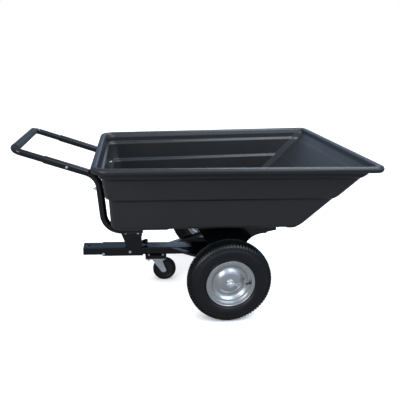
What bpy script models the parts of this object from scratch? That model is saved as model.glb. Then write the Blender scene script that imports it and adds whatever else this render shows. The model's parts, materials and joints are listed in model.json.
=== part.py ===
"""All-terrain garden trailer: a moulded tipping tub on a bent-tube frame, two disc wheels with
pneumatic tyres, a swivelling castor under the drawbar and a U handle with a foam grip.

Every piece is drawn with the wheel axle at x = 0, and the empty frame_origin moves the whole trailer
so that its box is centred on the origin. +X is the rear (the spout), -Y is the left side, +Z is up."""

import math

import bmesh
import bpy
from mathutils import Vector

# Driving sizes in metres.
fit_gap = 0.0003

tyre_radius = 0.200
tyre_half_width = 0.049
tyre_wall = 0.008
tread_depth = 0.005
tread_sections = 44
wheel_offset = 0.4274
rim_flange_radius = 0.1145
rim_bead_radius = 0.1016
rim_sheet = 0.0025
rim_seat_half = 0.0388
rim_well_radius = 0.0900
rim_well_half = 0.0170
disc_edge_y = 0.0262
disc_valley_radius = 0.0660
disc_valley_y = 0.0130
dome_radius = 0.0340
dome_y = 0.0278
hub_length = 0.080
hub_radius = 0.0185
axle_radius = 0.010
bearing_radius = 0.0152
axle_overhang = 0.0140
axle_tube_radius = 0.0150
cotter_wire = 0.0011
cotter_eye = 0.0050
cotter_reach = 0.040

rim_front_x = -0.6258
rim_rear_x = 0.6392
rim_front_half = 0.457
rim_rear_half = 0.5365
rim_above_axle = 0.5533
rim_pitch = 0.0366
flange_width = 0.036
front_flange_width = 0.031
lip_drop = 0.020
tub_sheet = 0.004
tub_depth = 0.308
tub_draft = 0.069
step_one_depth = 0.050
step_two_depth = 0.150
step_height = 0.0135
step_in = 0.013
spout_start = 0.0267
spout_step = 0.003
spout_slope = 1.03
floor_round = 0.025
rim_front_corner = 0.080
rim_rear_corner = 0.060
wall_front_corner = 0.055
rim_inner_corner = 0.030
corner_cut = 0.043
corner_cut_round = 0.018
recess_front_x = -0.284
recess_rear_x = 0.250
recess_rise = 0.0045

frame_tube_radius = 0.0176
frame_tube_sheet = 0.0020
frame_tube_bend = 0.085
frame_tube_end_x = -0.400
frame_run_lean = math.radians(6.3)
socket_ahead_of_rim = 0.2162
socket_below_rim = 0.0239
arm_angle = math.radians(17.1)
arm_offset = 0.2597
arm_length = 0.2468
wall_bolt_below_rim = 0.1563
wall_nut_radius = 0.0076
clamp_from_socket = 0.1036
cross_member_height = 0.019
cross_member_front_x = -0.496
cross_member_half = 0.305
rear_channel_front_x = 0.187
rear_channel_width = 0.055
rear_channel_height = 0.025
rear_channel_half = 0.358
rail_sheet = 0.005
rail_outer_y = 0.2993
rail_flange = 0.035
rail_height = 0.020
ear_arch = 0.104
ear_arch_x = 0.190
ear_drop = 0.0683
ear_rise = 0.0165

handle_radius = 0.0150
handle_sheet = 0.002
handle_inserted = 0.115
handle_reach = 0.1353
handle_bend = 0.034
grip_radius = 0.0190

drawbar_front_x = -0.7055
drawbar_rear_x = 0.010
drawbar_half = 0.040
drawbar_height = 0.040
drawbar_sheet = 0.003
drawbar_above_axle = 0.003
hitch_hole_x = -0.675
hitch_hole_radius = 0.008
bracket_sheet = 0.004
bracket_front_x = -0.607
bracket_rear_x = -0.392
upright_front_x = -0.476
upright_above_axle = 0.172
rest_front_x = -0.496
rest_rear_x = -0.398
rest_leg_above_axle = 0.070
rest_bolt_above_axle = 0.0905
catch_x = -0.449
catch_sheet = 0.006
catch_half = 0.015
notch_half = 0.020
latch_above_axle = 0.022
latch_radius = 0.006
latch_housing_front_x = -0.432
latch_housing_rear_x = -0.400
knob_radius = 0.0145
knob_length = 0.030
brace_front_x = -0.250
brace_outer_y = 0.220
brace_width = 0.025
brace_height = 0.014

castor_radius = 0.0625
castor_half_width = 0.0175
castor_x = -0.3235
castor_trail = 0.0515
fork_sheet = 0.003
fork_clearance = 0.0054
fork_crown = 0.004
race_height = 0.005
castor_plate_sheet = 0.004
castor_plate_length = 0.111
castor_plate_half = 0.058
castor_bolt_x = 0.038
castor_bolt_y = 0.049
kingpin_radius = 0.006

# Sizes that follow from the driving ones.
axle_z = tyre_radius
rim_z = axle_z + rim_above_axle
left_and_right = (("left", -1), ("right", 1))
step_one_foot = step_one_depth + step_height
step_two_foot = step_two_depth + step_height
drawbar_top = axle_z + drawbar_above_axle
drawbar_bottom = drawbar_top - drawbar_height
bracket_half = drawbar_half + fit_gap + bracket_sheet
web_bottom = drawbar_bottom - fit_gap - bracket_sheet
crown_bottom = 2 * castor_radius + fork_clearance
crown_top = crown_bottom + fork_crown
castor_plate_bottom = crown_top + race_height + fit_gap
castor_plate_top = castor_plate_bottom + castor_plate_sheet
latch_z = axle_z + latch_above_axle
rest_bolt_z = axle_z + rest_bolt_above_axle
arm_out = Vector((-math.cos(arm_angle), 0, math.sin(arm_angle)))
socket_point = Vector((rim_front_x - socket_ahead_of_rim, 0, rim_z - socket_below_rim))
grip_centre = socket_point + arm_out * handle_reach
shift_x = -(grip_centre.x - grip_radius + rim_rear_x) / 2


def rim_height(x):
    return rim_z + rim_pitch * x


def floor_height(x):
    """Underside of the tub's floor."""
    return rim_height(x) - tub_depth


# Finishes: colour, metallic, roughness.
finishes = {
    "tub_plastic": ((0.030, 0.032, 0.036), 0.0, 0.48),
    "frame_paint": ((0.012, 0.012, 0.014), 0.0, 0.28),
    "zinc": ((0.52, 0.53, 0.55), 1.0, 0.36),
    "rim_paint": ((0.50, 0.51, 0.54), 0.85, 0.32),
    "tyre_rubber": ((0.016, 0.016, 0.017), 0.0, 0.72),
    "castor_rubber": ((0.014, 0.014, 0.015), 0.0, 0.60),
    "core_plastic": ((0.025, 0.025, 0.028), 0.0, 0.45),
    "foam": ((0.020, 0.020, 0.023), 0.0, 0.80),
    "knob_plastic": ((0.012, 0.012, 0.013), 0.0, 0.35),
    "valve_rubber": ((0.015, 0.015, 0.016), 0.0, 0.60),
}


def painted(name, finish):
    colour, metallic, roughness = finishes[finish]
    material = bpy.data.materials.new(name + "_" + finish)
    material.use_nodes = True
    shader = material.node_tree.nodes["Principled BSDF"]
    shader.inputs["Base Color"].default_value = (*colour, 1)
    shader.inputs["Metallic"].default_value = metallic
    shader.inputs["Roughness"].default_value = roughness
    return material


# Scene, anchors and placing.
for leftover in list(bpy.data.objects):
    bpy.data.objects.remove(leftover)
anchor_points = {}


def anchor(name, point, parent=None):
    """An empty on a joint's axis. Its pieces have their origins there."""
    empty = bpy.data.objects.new(name, None)
    bpy.context.scene.collection.objects.link(empty)
    empty.empty_display_size = 0.02
    anchor_points[name] = Vector(point)
    if parent:
        empty.parent = parent
        empty.location = anchor_points[name] - anchor_points[parent.name]
    return empty


def placed(bm, name, parent, finish, sharp=34):
    """Turns a mesh drawn in the axle's frame into a named object under its anchor."""
    bmesh.ops.recalc_face_normals(bm, faces=bm.faces)
    bmesh.ops.translate(bm, verts=bm.verts, vec=-anchor_points[parent.name])
    mesh = bpy.data.meshes.new(name)
    bm.to_mesh(mesh)
    bm.free()
    mesh.shade_smooth()
    mesh.set_sharp_from_angle(angle=math.radians(sharp))
    mesh.materials.append(painted(name, finish))
    made = bpy.data.objects.new(name, mesh)
    bpy.context.scene.collection.objects.link(made)
    made.parent = parent
    return made


def cut(target, bm, name):
    """Takes the mesh out of the target with a Boolean."""
    cutter = placed(bm, target.name + "_" + name, target.parent, "zinc")
    cutter.hide_render = True
    cutter.display_type = "WIRE"
    modifier = target.modifiers.new(name, "BOOLEAN")
    modifier.operation = "DIFFERENCE"
    modifier.solver = "EXACT"
    modifier.object = cutter


# Drawing helpers. They add one closed shell to a mesh.
def loft(bm, rings, joined=False):
    """Bridges rings of equal length. A joined loft closes on its first ring, the other has end caps."""
    rows = [[bm.verts.new(point) for point in ring] for ring in rings]
    pairs = list(zip(rows, rows[1:]))
    if joined:
        pairs.append((rows[-1], rows[0]))
    bands = []
    for one, two in pairs:
        band = []
        for i in range(len(one)):
            j = (i + 1) % len(one)
            band.append(bm.faces.new((one[i], one[j], two[j], two[i])))
        bands.append(band)
    if not joined:
        bm.faces.new(rows[0][::-1])
        bm.faces.new(rows[-1])
    return bands


def cross_axes(along):
    """Two unit vectors across a direction, the first one level or along +X."""
    first = Vector((0, 0, 1)).cross(along)
    if first.length < 0.01:
        first = Vector((1, 0, 0))
    first.normalize()
    return first, along.cross(first)


def circle(centre, along, radius, segments):
    first, second = cross_axes(along)
    ring = []
    for i in range(segments):
        turn = 2 * math.pi * i / segments
        ring.append(centre + first * (radius * math.cos(turn)) + second * (radius * math.sin(turn)))
    return ring


def hexagon(centre, along, corner_radius):
    """A hexagon in 12 points, so that it bridges to a 12-sided circle."""
    first, second = cross_axes(along)
    ring = []
    for i in range(12):
        turn = math.pi * i / 6
        reach = corner_radius * (1 if i % 2 == 0 else math.cos(math.pi / 6))
        ring.append(centre + first * (reach * math.cos(turn)) + second * (reach * math.sin(turn)))
    return ring


def lathe(bm, profile, centre, along, segments, joined=True):
    """Revolves (radius, distance) points. A joined profile is a closed loop off the axis."""
    rings = [circle(centre + along * step, along, radius, segments) for radius, step in profile]
    return loft(bm, rings, joined)


def cylinder(bm, start, end, radius, segments=16):
    start = Vector(start)
    along = Vector(end) - start
    lathe(bm, [(radius, 0), (radius, along.length)], start, along.normalized(), segments, False)


def ring_tube(bm, start, end, outer, inner, segments=16):
    start = Vector(start)
    along = Vector(end) - start
    length = along.length
    profile = [(outer, 0), (outer, length), (inner, length), (inner, 0)]
    lathe(bm, profile, start, along.normalized(), segments)


def lifted(outline, axis, level):
    """Puts a 2-D outline in space: (y, z) across X, (x, z) across Y, (x, y) across Z."""
    if axis == "X":
        return [Vector((level, a, b)) for a, b in outline]
    if axis == "Y":
        return [Vector((a, level, b)) for a, b in outline]
    return [Vector((a, b, level)) for a, b in outline]


def prism(bm, outline, axis, low, high):
    loft(bm, [lifted(outline, axis, low), lifted(outline, axis, high)])


def sleeve(bm, outer, inner, axis, low, high):
    rings = [lifted(outer, axis, low), lifted(outer, axis, high)]
    rings += [lifted(inner, axis, high), lifted(inner, axis, low)]
    loft(bm, rings, joined=True)


def box(bm, low, high):
    outline = [(low[0], low[1]), (high[0], low[1]), (high[0], high[1]), (low[0], high[1])]
    prism(bm, outline, "Z", low[2], high[2])


def arc_between(centre, start, end, steps):
    """Points on the short arc between two spokes of the same length."""
    turn = start.angle(end)
    points = []
    for i in range(steps + 1):
        part = i / steps
        spoke = start * math.sin((1 - part) * turn) + end * math.sin(part * turn)
        points.append(centre + spoke / math.sin(turn))
    return points


def rounded(corners, radii, steps):
    """A closed outline with an arc at each corner. A radius of 0 keeps the corner sharp."""
    points = []
    counts = (steps,) * len(corners) if isinstance(steps, int) else steps
    for i, corner in enumerate(corners):
        here = Vector(corner)
        before = (Vector(corners[i - 1]) - here).normalized()
        after = (Vector(corners[(i + 1) % len(corners)]) - here).normalized()
        if radii[i] == 0:
            points.append(here)
            continue
        half = before.angle(after) / 2
        reach = radii[i] / math.tan(half)
        centre = here + (before + after).normalized() * (radii[i] / math.sin(half))
        spokes = (here + before * reach - centre, here + after * reach - centre)
        points += arc_between(centre, spokes[0], spokes[1], counts[i])
    return points


def bent_path(corners, bend, steps):
    """Points and directions along a bent tube's centre line."""
    first_way = (corners[1] - corners[0]).normalized()
    path = [(corners[0], first_way)]
    for before, here, after in zip(corners, corners[1:], corners[2:]):
        way_in = (here - before).normalized()
        way_out = (after - here).normalized()
        half = (math.pi - way_in.angle(way_out)) / 2
        reach = bend / math.tan(half)
        centre = here + (way_out - way_in).normalized() * (bend / math.sin(half))
        spokes = (here - way_in * reach - centre, here + way_out * reach - centre)
        points = arc_between(centre, spokes[0], spokes[1], steps)
        ways = arc_between(Vector((0, 0, 0)), way_in, way_out, steps)
        path += list(zip(points, ways))
    path.append((corners[-1], (corners[-1] - corners[-2]).normalized()))
    return path


def pipe(bm, path, across, outer, inner, segments):
    """A tube along a flat path. Across is the path plane's normal, and inner 0 makes a solid rod."""
    def swept(radius):
        rings = []
        for point, way in path:
            side = way.cross(across)
            ring = []
            for i in range(segments):
                turn = 2 * math.pi * i / segments
                ring.append(point + across * (radius * math.cos(turn)) + side * (radius * math.sin(turn)))
            rings.append(ring)
        return rings
    if inner:
        loft(bm, swept(outer) + swept(inner)[::-1], joined=True)
    else:
        loft(bm, swept(outer))


def bolt(name, parent, seat, along, size, grip, nut=True, tail=0.004):
    """A hexagon bolt of the given thread diameter. Its head ends at the seat, its nut follows the grip."""
    seat = Vector(seat)
    along = Vector(along).normalized()
    head = 0.62 * size
    hexagon_radius = 0.95 * size
    thread = size / 2
    rings = [hexagon(seat - along * head, along, hexagon_radius), hexagon(seat, along, hexagon_radius)]
    rings.append(circle(seat, along, thread, 12))
    end = seat + along * grip
    if nut:
        rings.append(circle(end, along, thread, 12))
        rings.append(hexagon(end, along, hexagon_radius))
        end = end + along * (0.8 * size)
        rings.append(hexagon(end, along, hexagon_radius))
        rings.append(circle(end, along, thread, 12))
    rings.append(circle(end + along * tail, along, thread, 12))
    bm = bmesh.new()
    loft(bm, rings)
    return placed(bm, name, parent, "zinc", sharp=29)


# Tub.
def wall_inset(depth):
    """How far the outside of the front and side walls stands inside the rim's edge."""
    inset = flange_width + tub_draft * depth
    if depth > step_one_depth:
        inset += step_in * min(1, (depth - step_one_depth) / step_height)
    if depth > step_two_depth:
        inset += step_in * min(1, (depth - step_two_depth) / step_height)
    return inset


def spout_inset(depth):
    """The same for the rear wall, which slopes as a spout from just under the rim."""
    inset = flange_width + spout_slope * max(0, depth - spout_start)
    for step_depth in (step_one_depth, step_two_depth):
        if depth > step_depth:
            inset += spout_step * min(1, (depth - step_depth) / step_height)
    return inset


def front_inset(inset):
    """The front flange is narrower, so the front wall stands further forward."""
    narrower = flange_width - front_flange_width
    return inset - narrower * min(1, inset / flange_width)


def half_width(x):
    part = (x - rim_front_x) / (rim_rear_x - rim_front_x)
    return rim_front_half + (rim_rear_half - rim_front_half) * part


def rim_corner(inset):
    """Cut and rounding at the rim's rear corners. Together they make one plain arc."""
    radius = max(rim_rear_corner - inset, rim_inner_corner)
    return (2 - math.sqrt(2)) * radius, 0.998 * radius


def tub_ring(inset, rear_inset, depth, rear_corner, recess=0):
    """One closed loop of the tub's skin. The recess lifts the middle of the long sides."""
    front = rim_front_x + front_inset(inset)
    rear = rim_rear_x - rear_inset
    cut_off, cut_round = rear_corner
    side = half_width(rear - cut_off) - inset
    end = half_width(rear) - inset - cut_off
    corners = [(front, inset - half_width(front)), (rear - cut_off, -side), (rear, -end)]
    corners += [(x, -y) for x, y in corners[::-1]]
    front_corner = max(rim_front_corner - inset, wall_front_corner)
    radii = (front_corner, cut_round, cut_round, cut_round, cut_round, front_corner)
    outline = rounded(corners, radii, (4, 2, 2, 2, 2, 4))
    taper = 0.012
    stations = ((recess_front_x - taper, 0), (recess_front_x, recess))
    stations += ((recess_rear_x, recess), (recess_rear_x + taper, 0))
    ring = [(point.x, point.y, 0) for point in outline[:5]]
    ring += [(x, inset - half_width(x), lift) for x, lift in stations]
    ring += [(point.x, point.y, 0) for point in outline[5:-5]]
    ring += [(x, half_width(x) - inset, lift) for x, lift in stations[::-1]]
    ring += [(point.x, point.y, 0) for point in outline[-5:]]
    return [Vector((x, y, rim_height(x) - depth + lift)) for x, y, lift in ring]


def tub_skin(sheet):
    """Rings from the floor up to the flange: sheet 0 is the outside, and the wall gives the inside."""
    foot = tub_depth - floor_round
    corner = (corner_cut, corner_cut_round)
    rings = []
    floor_inset = wall_inset(foot) + floor_round + 0.014 + sheet
    rings.append(tub_ring(floor_inset, spout_inset(tub_depth) + 0.034 + sheet, tub_depth - sheet, corner))
    for angle in (90, 66, 44, 22, 0):
        up = math.radians(angle)
        depth = foot + floor_round * math.sin(up)
        inset = wall_inset(foot) + floor_round * (1 - math.cos(up)) + sheet
        rear = spout_inset(depth) + 0.4 * floor_round * (1 - math.cos(up)) + sheet
        rings.append(tub_ring(inset, rear, depth - sheet, corner, recess_rise * math.sin(up)))
    for depth in (step_two_foot, step_two_depth, step_one_foot, step_one_depth, spout_start):
        rings.append(tub_ring(wall_inset(depth) + sheet, spout_inset(depth) + sheet, depth - sheet, corner))
    return rings


def rim_rings():
    """Rings over the rolled rim, from under the flange round the lip to the top of the inside wall."""
    lip_foot = math.radians(-50)
    roll = lip_drop / (1 - math.sin(lip_foot))

    def on_roll(radius, turn):
        return roll - radius * math.cos(turn), roll - radius * math.sin(turn)

    section = [(flange_width, 2.8 * tub_sheet), (flange_width - 0.003, 1.6 * tub_sheet)]
    section += [on_roll(roll - tub_sheet, math.radians(angle)) for angle in (90, 35)]
    section += [on_roll(roll - tub_sheet, lip_foot), on_roll(roll, lip_foot)]
    section += [on_roll(roll, math.radians(angle)) for angle in (-15, 20, 55, 90)]
    section += [(flange_width - 0.008, 0.0004), (flange_width - 0.002, 0.0028)]
    section += [(flange_width + 0.002, 0.0075), (flange_width + tub_sheet, 0.015)]
    return [tub_ring(inset, inset, depth, rim_corner(inset)) for inset, depth in section]


def wall_bolt_line():
    """Where the bolt through the frame tube meets the front wall: tube centre, direction, distance."""
    lean = math.atan(tub_draft)
    way = Vector((math.cos(lean), 0, math.sin(lean)))
    height = rim_z - wall_bolt_below_rim
    start = Vector((frame_top.x + (frame_top.z - height) * math.tan(frame_run_lean), 0, height))
    wall_x = rim_front_x + front_flange_width + step_in
    ahead = wall_x + tub_draft * (rim_height(start.x) - start.z) - start.x
    distance = ahead / (way.x - tub_draft * (rim_pitch * way.x - way.z))
    return start, way, distance


def floor_bolt_seats():
    """Name, point on the inside of the floor, grip of the four floor bolts."""
    front_x = (cross_member_front_x + frame_tube_end_x) / 2
    rear_x = rear_channel_front_x + rear_channel_width / 2
    seats = []
    for side, sign in left_and_right:
        spots = (("front", front_x, 0.15, cross_member_height), ("rear", rear_x, 0.22, 0.003))
        for end, x, y, clamped in spots:
            seat = Vector((x, sign * y, floor_height(x) + tub_sheet + fit_gap))
            seats.append((end + "_" + side, seat, tub_sheet + clamped + 4 * fit_gap))
    return seats


def make_tub(parent):
    bm = bmesh.new()
    inside = tub_skin(tub_sheet)
    loft(bm, tub_skin(0) + rim_rings() + inside[::-1])
    tub = placed(bm, "tub", parent, "tub_plastic", sharp=28)
    holes = bmesh.new()
    start, way, distance = wall_bolt_line()
    for side, sign in left_and_right:
        middle = start + way * distance + Vector((0, sign * arm_offset, 0))
        cylinder(holes, middle - way * 0.01, middle + way * 0.02, 0.0043, 12)
    down = Vector((rim_pitch, 0, -1)).normalized()
    for name, seat, grip in floor_bolt_seats():
        cylinder(holes, seat - down * 0.01, seat + down * 0.012, 0.0043, 12)
    cut(tub, holes, "bolt_holes")
    for side, sign in left_and_right:
        tilt = frame_run_lean - math.atan(tub_draft)
        tube_side = frame_tube_radius + fit_gap + wall_nut_radius * abs(math.tan(tilt))
        nut_end = start - way * tube_side + Vector((0, sign * arm_offset, 0))
        inside_end = distance + tub_sheet + 3 * fit_gap
        seat = start + way * inside_end + Vector((0, sign * arm_offset, 0))
        make_wall_bolt("wall_bolt_" + side, parent, seat, nut_end, distance - tube_side)
    for name, seat, grip in floor_bolt_seats():
        bolt("floor_bolt_" + name, parent, seat, down, 0.008, grip)


def make_wall_bolt(name, parent, seat, nut_end, gap):
    """The bolt through tub and tube, with the collar that keeps them apart."""
    way = (nut_end - seat).normalized()
    sheet = tub_sheet + 4 * fit_gap
    collar_end = sheet + gap - 2 * fit_gap
    grip = (nut_end - seat).length
    rings = [hexagon(seat - way * 0.005, way, wall_nut_radius), hexagon(seat, way, wall_nut_radius)]
    for radius, step in ((0.004, 0), (0.004, sheet), (0.008, sheet), (0.008, collar_end), (0.004, collar_end)):
        rings.append(circle(seat + way * step, way, radius, 12))
    rings.append(circle(nut_end, way, 0.004, 12))
    rings.append(hexagon(nut_end, way, wall_nut_radius))
    rings.append(hexagon(nut_end + way * 0.0064, way, wall_nut_radius))
    rings.append(circle(nut_end + way * 0.0064, way, 0.004, 12))
    rings.append(circle(nut_end + way * 0.0134, way, 0.004, 12))
    bm = bmesh.new()
    loft(bm, rings)
    placed(bm, name, parent, "zinc", sharp=29)


# Tipping frame under the tub.
def tube_height(x):
    """Centre line of the frame tubes' lower run, under the cross member."""
    return floor_height(x) - cross_member_height - 2 * fit_gap - frame_tube_radius * 1.001


frame_top = socket_point - arm_out * arm_length
frame_foot_x = frame_top.x + (frame_top.z - tube_height(-0.58)) * math.tan(frame_run_lean)


def make_side_tube(side, sign, parent):
    corners = [socket_point.copy(), frame_top.copy()]
    corners.append(Vector((frame_foot_x, 0, tube_height(frame_foot_x))))
    corners.append(Vector((frame_tube_end_x, 0, tube_height(frame_tube_end_x))))
    for corner in corners:
        corner.y = sign * arm_offset
    bm = bmesh.new()
    path = bent_path(corners, frame_tube_bend, 4)
    bore = frame_tube_radius - frame_tube_sheet
    pipe(bm, path, Vector((0, 1, 0)), frame_tube_radius, bore, 12)
    tube = placed(bm, "side_tube_" + side, parent, "frame_paint")
    holes = bmesh.new()
    start, way, distance = wall_bolt_line()
    start = start + Vector((0, sign * arm_offset, 0))
    cylinder(holes, start - way * 0.03, start + way * 0.03, 0.0043, 12)
    screw = clamp_point(sign)
    outward = Vector((0, sign, 0))
    cylinder(holes, screw + outward * 0.006, screw + outward * 0.03, 0.0033, 12)
    cut(tube, holes, "holes")
    seat = screw + outward * (frame_tube_radius + fit_gap)
    bolt("clamp_screw_" + side, parent, seat, -outward, 0.006, frame_tube_sheet, nut=False, tail=0)


def clamp_point(sign):
    point = socket_point - arm_out * clamp_from_socket
    return point + Vector((0, sign * arm_offset, 0))


def make_cross_member(parent):
    sheet = 0.0025

    def section(inset):
        low_x = cross_member_front_x + inset
        high_x = frame_tube_end_x - inset
        foot = fit_gap + cross_member_height - inset
        top = fit_gap + inset
        corners = [(low_x, foot), (high_x, foot), (high_x, top), (low_x, top)]
        return [(x, floor_height(x) - drop) for x, drop in corners]

    bm = bmesh.new()
    sleeve(bm, section(0), section(sheet), "Y", -cross_member_half, cross_member_half)
    member = placed(bm, "front_cross_member", parent, "frame_paint")
    holes = bmesh.new()
    down = Vector((rim_pitch, 0, -1)).normalized()
    for name, seat, grip in floor_bolt_seats():
        if name.startswith("front"):
            cylinder(holes, seat, seat + down * 0.04, 0.0043, 12)
    cut(member, holes, "holes")


def make_rear_channel(parent):
    sheet = 0.003
    front = rear_channel_front_x
    rear = front + rear_channel_width
    foot = fit_gap + rear_channel_height
    corners = [(front, foot), (front, fit_gap), (rear, fit_gap), (rear, foot), (rear - sheet, foot)]
    corners += [(rear - sheet, fit_gap + sheet), (front + sheet, fit_gap + sheet), (front + sheet, foot)]
    rings = []
    for sign in (-1, 1):
        ring = []
        for x, drop in corners:
            ring.append(Vector((x, sign * (rear_channel_half - 0.5 * drop), floor_height(x) - drop)))
        rings.append(ring)
    bm = bmesh.new()
    loft(bm, rings)
    channel = placed(bm, "rear_cross_channel", parent, "frame_paint")
    holes = bmesh.new()
    down = Vector((rim_pitch, 0, -1)).normalized()
    for name, seat, grip in floor_bolt_seats():
        if name.startswith("rear"):
            cylinder(holes, seat, seat + down * 0.02, 0.0043, 12)
    cut(channel, holes, "holes")


def rail_outline():
    """Side view of the rail and its arched ear, which hangs down to the axle."""
    front = frame_tube_end_x + fit_gap
    rear = rear_channel_front_x - fit_gap
    ear_rear = rear_channel_front_x + rear_channel_width + 0.005
    under_channel = rear_channel_height + 2 * fit_gap
    lobe = 2.1 * axle_tube_radius
    ear_foot = floor_height(ear_arch_x) - ear_drop
    shoulder_x = -0.1486
    outline = [Vector((front, floor_height(front) - fit_gap)), Vector((rear, floor_height(rear) - fit_gap))]
    outline.append(Vector((rear, floor_height(rear) - under_channel)))
    outline.append(Vector((ear_rear, floor_height(ear_rear) - under_channel)))
    outline.append(Vector((ear_rear, ear_foot + ear_rise)))
    outline.append(Vector((ear_arch_x + 0.011, ear_foot + 0.4 * ear_rise)))
    outline.append(Vector((ear_arch_x + 0.009, ear_foot)))
    centre = Vector((ear_arch_x, ear_foot - ear_arch))
    outline += arc_between(centre, Vector((0, ear_arch)), Vector((-ear_arch, 0.004)), 7)
    for i in range(9):
        turn = math.pi * i / 8
        outline.append(Vector((lobe * math.cos(turn), axle_z - lobe * math.sin(turn))))
    outline.append(Vector((-1.1 * lobe, axle_z + 1.7 * lobe)))
    outline.append(Vector((shoulder_x, floor_height(shoulder_x) - rail_height)))
    outline.append(Vector((front, floor_height(front) - rail_height)))
    return outline


def make_rail(side, sign, parent):
    inner = rail_outer_y - rail_flange
    web_inner = rail_outer_y - rail_sheet
    bm = bmesh.new()
    low, high = sorted((sign * inner, sign * rail_outer_y))
    prism(bm, rail_outline(), "Y", low, high)
    rail = placed(bm, "side_rail_" + side, parent, "frame_paint")
    hollow = bmesh.new()
    low, high = sorted((sign * (inner - 0.01), sign * web_inner))
    under = fit_gap + rail_sheet
    outline = [(-0.5, floor_height(-0.5) - under), (-0.5, 0.1), (0.3, 0.1), (0.3, floor_height(0.3) - under)]
    prism(hollow, outline, "Y", low, high)
    cut(rail, hollow, "fold")
    bore = bmesh.new()
    middle = Vector((0, sign * (rail_outer_y + web_inner) / 2, axle_z))
    reach = Vector((0, 0.01, 0))
    cylinder(bore, middle - reach, middle + reach, axle_radius + fit_gap)
    cut(rail, bore, "bore")


def make_catch_plate(parent):
    top = floor_height(catch_x) - cross_member_height - 2 * fit_gap - rim_pitch * catch_sheet / 2
    foot = drawbar_top + 0.0015
    outline = [(-catch_half, foot), (catch_half, foot), (catch_half, top), (-catch_half, top)]
    bm = bmesh.new()
    half = catch_sheet / 2
    prism(bm, rounded(outline, (0.004, 0.004, 0, 0), 3), "X", catch_x - half, catch_x + half)
    plate = placed(bm, "catch_plate", parent, "frame_paint")
    hole = bmesh.new()
    cylinder(hole, (catch_x - 0.01, 0, latch_z), (catch_x + 0.01, 0, latch_z), latch_radius + 2 * fit_gap, 16)
    cut(plate, hole, "latch_hole")


# Handle.
def make_handle(parent):
    inner_end = socket_point - arm_out * handle_inserted
    corners = [inner_end, grip_centre.copy(), grip_centre.copy(), inner_end.copy()]
    for corner, sign in zip(corners, (-1, -1, 1, 1)):
        corner.y = sign * arm_offset
    across = arm_out.cross(Vector((0, 1, 0)))
    bm = bmesh.new()
    path = bent_path(corners, handle_bend, 4)
    pipe(bm, path, across, handle_radius, handle_radius - handle_sheet, 12)
    placed(bm, "handle_tube", parent, "frame_paint")
    bm = bmesh.new()
    level = Vector((0, 1, 0))
    grip_end = level * (arm_offset - handle_bend - 2 * fit_gap)
    path = [(grip_centre + step, level) for step in (-grip_end, grip_end)]
    pipe(bm, path, across, grip_radius, handle_radius + fit_gap, 12)
    placed(bm, "foam_grip", parent, "foam")


# Drawbar, bracket and axle.
def make_drawbar(parent):
    def section(inset):
        half = drawbar_half - inset
        low = drawbar_bottom + inset
        high = drawbar_top - inset
        corners = [(-half, low), (half, low), (half, high), (-half, high)]
        radius = max(0.004 - inset, 0.0015)
        return rounded(corners, (radius,) * 4, 2)

    bm = bmesh.new()
    sleeve(bm, section(0), section(drawbar_sheet), "X", drawbar_front_x, drawbar_rear_x)
    bar = placed(bm, "drawbar", parent, "frame_paint")
    holes = bmesh.new()
    ends = (drawbar_bottom - 0.01, drawbar_top + 0.01)
    cylinder(holes, (hitch_hole_x, 0, ends[0]), (hitch_hole_x, 0, ends[1]), hitch_hole_radius)
    for x, z in bracket_bolt_spots():
        cylinder(holes, (x, -0.06, z), (x, 0.06, z), 0.0043, 12)
    cylinder(holes, (0, -0.06, axle_z), (0, 0.06, axle_z), axle_tube_radius + fit_gap)
    cylinder(holes, (0, 0, drawbar_bottom - 0.01), (0, 0, drawbar_bottom + 0.007), 0.0043, 12)
    cut(bar, holes, "holes")


def bracket_bolt_spots():
    """Side view positions of the two bolts that clamp the bracket on the drawbar."""
    front = (bracket_front_x + 0.007, drawbar_bottom + 0.0085)
    return (front, (upright_front_x + 0.015, drawbar_bottom + 0.019))


def rest_bolt_spots():
    return ((upright_front_x - 0.009, rest_bolt_z), (upright_front_x + 0.056, rest_bolt_z))


def make_bracket(parent):
    top = axle_z + upright_above_axle
    outline = [(bracket_front_x, web_bottom), (bracket_rear_x, web_bottom)]
    outline += [(bracket_rear_x - 0.005, drawbar_top), (bracket_rear_x - 0.015, top)]
    outline += [(upright_front_x - 0.0655, top), (upright_front_x, drawbar_top)]
    outline.append((bracket_front_x, drawbar_top))
    bm = bmesh.new()
    radii = (0.003, 0.003, 0.02, 0.006, 0.006, 0.004, 0.003)
    prism(bm, rounded(outline, radii, 3), "Y", -bracket_half, bracket_half)
    bracket = placed(bm, "saddle_bracket", parent, "frame_paint")
    hollow = bmesh.new()
    inner = drawbar_half + fit_gap
    low = (bracket_front_x - 0.02, -inner, drawbar_bottom - fit_gap)
    box(hollow, low, (bracket_rear_x + 0.02, inner, top + 0.02))
    cut(bracket, hollow, "fold")
    holes = bmesh.new()
    for x, z in bracket_bolt_spots() + rest_bolt_spots():
        cylinder(holes, (x, -0.06, z), (x, 0.06, z), 0.0043, 12)
    cut(bracket, holes, "holes")
    seat_y = -bracket_half - fit_gap
    grip = -2 * seat_y
    for end, (x, z) in zip(("front", "rear"), bracket_bolt_spots()):
        bolt("bracket_bolt_" + end, parent, (x, seat_y, z), (0, 1, 0), 0.008, grip)
    for end, (x, z) in zip(("front", "rear"), rest_bolt_spots()):
        bolt("rest_bolt_" + end, parent, (x, seat_y, z), (0, 1, 0), 0.008, grip)


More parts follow.
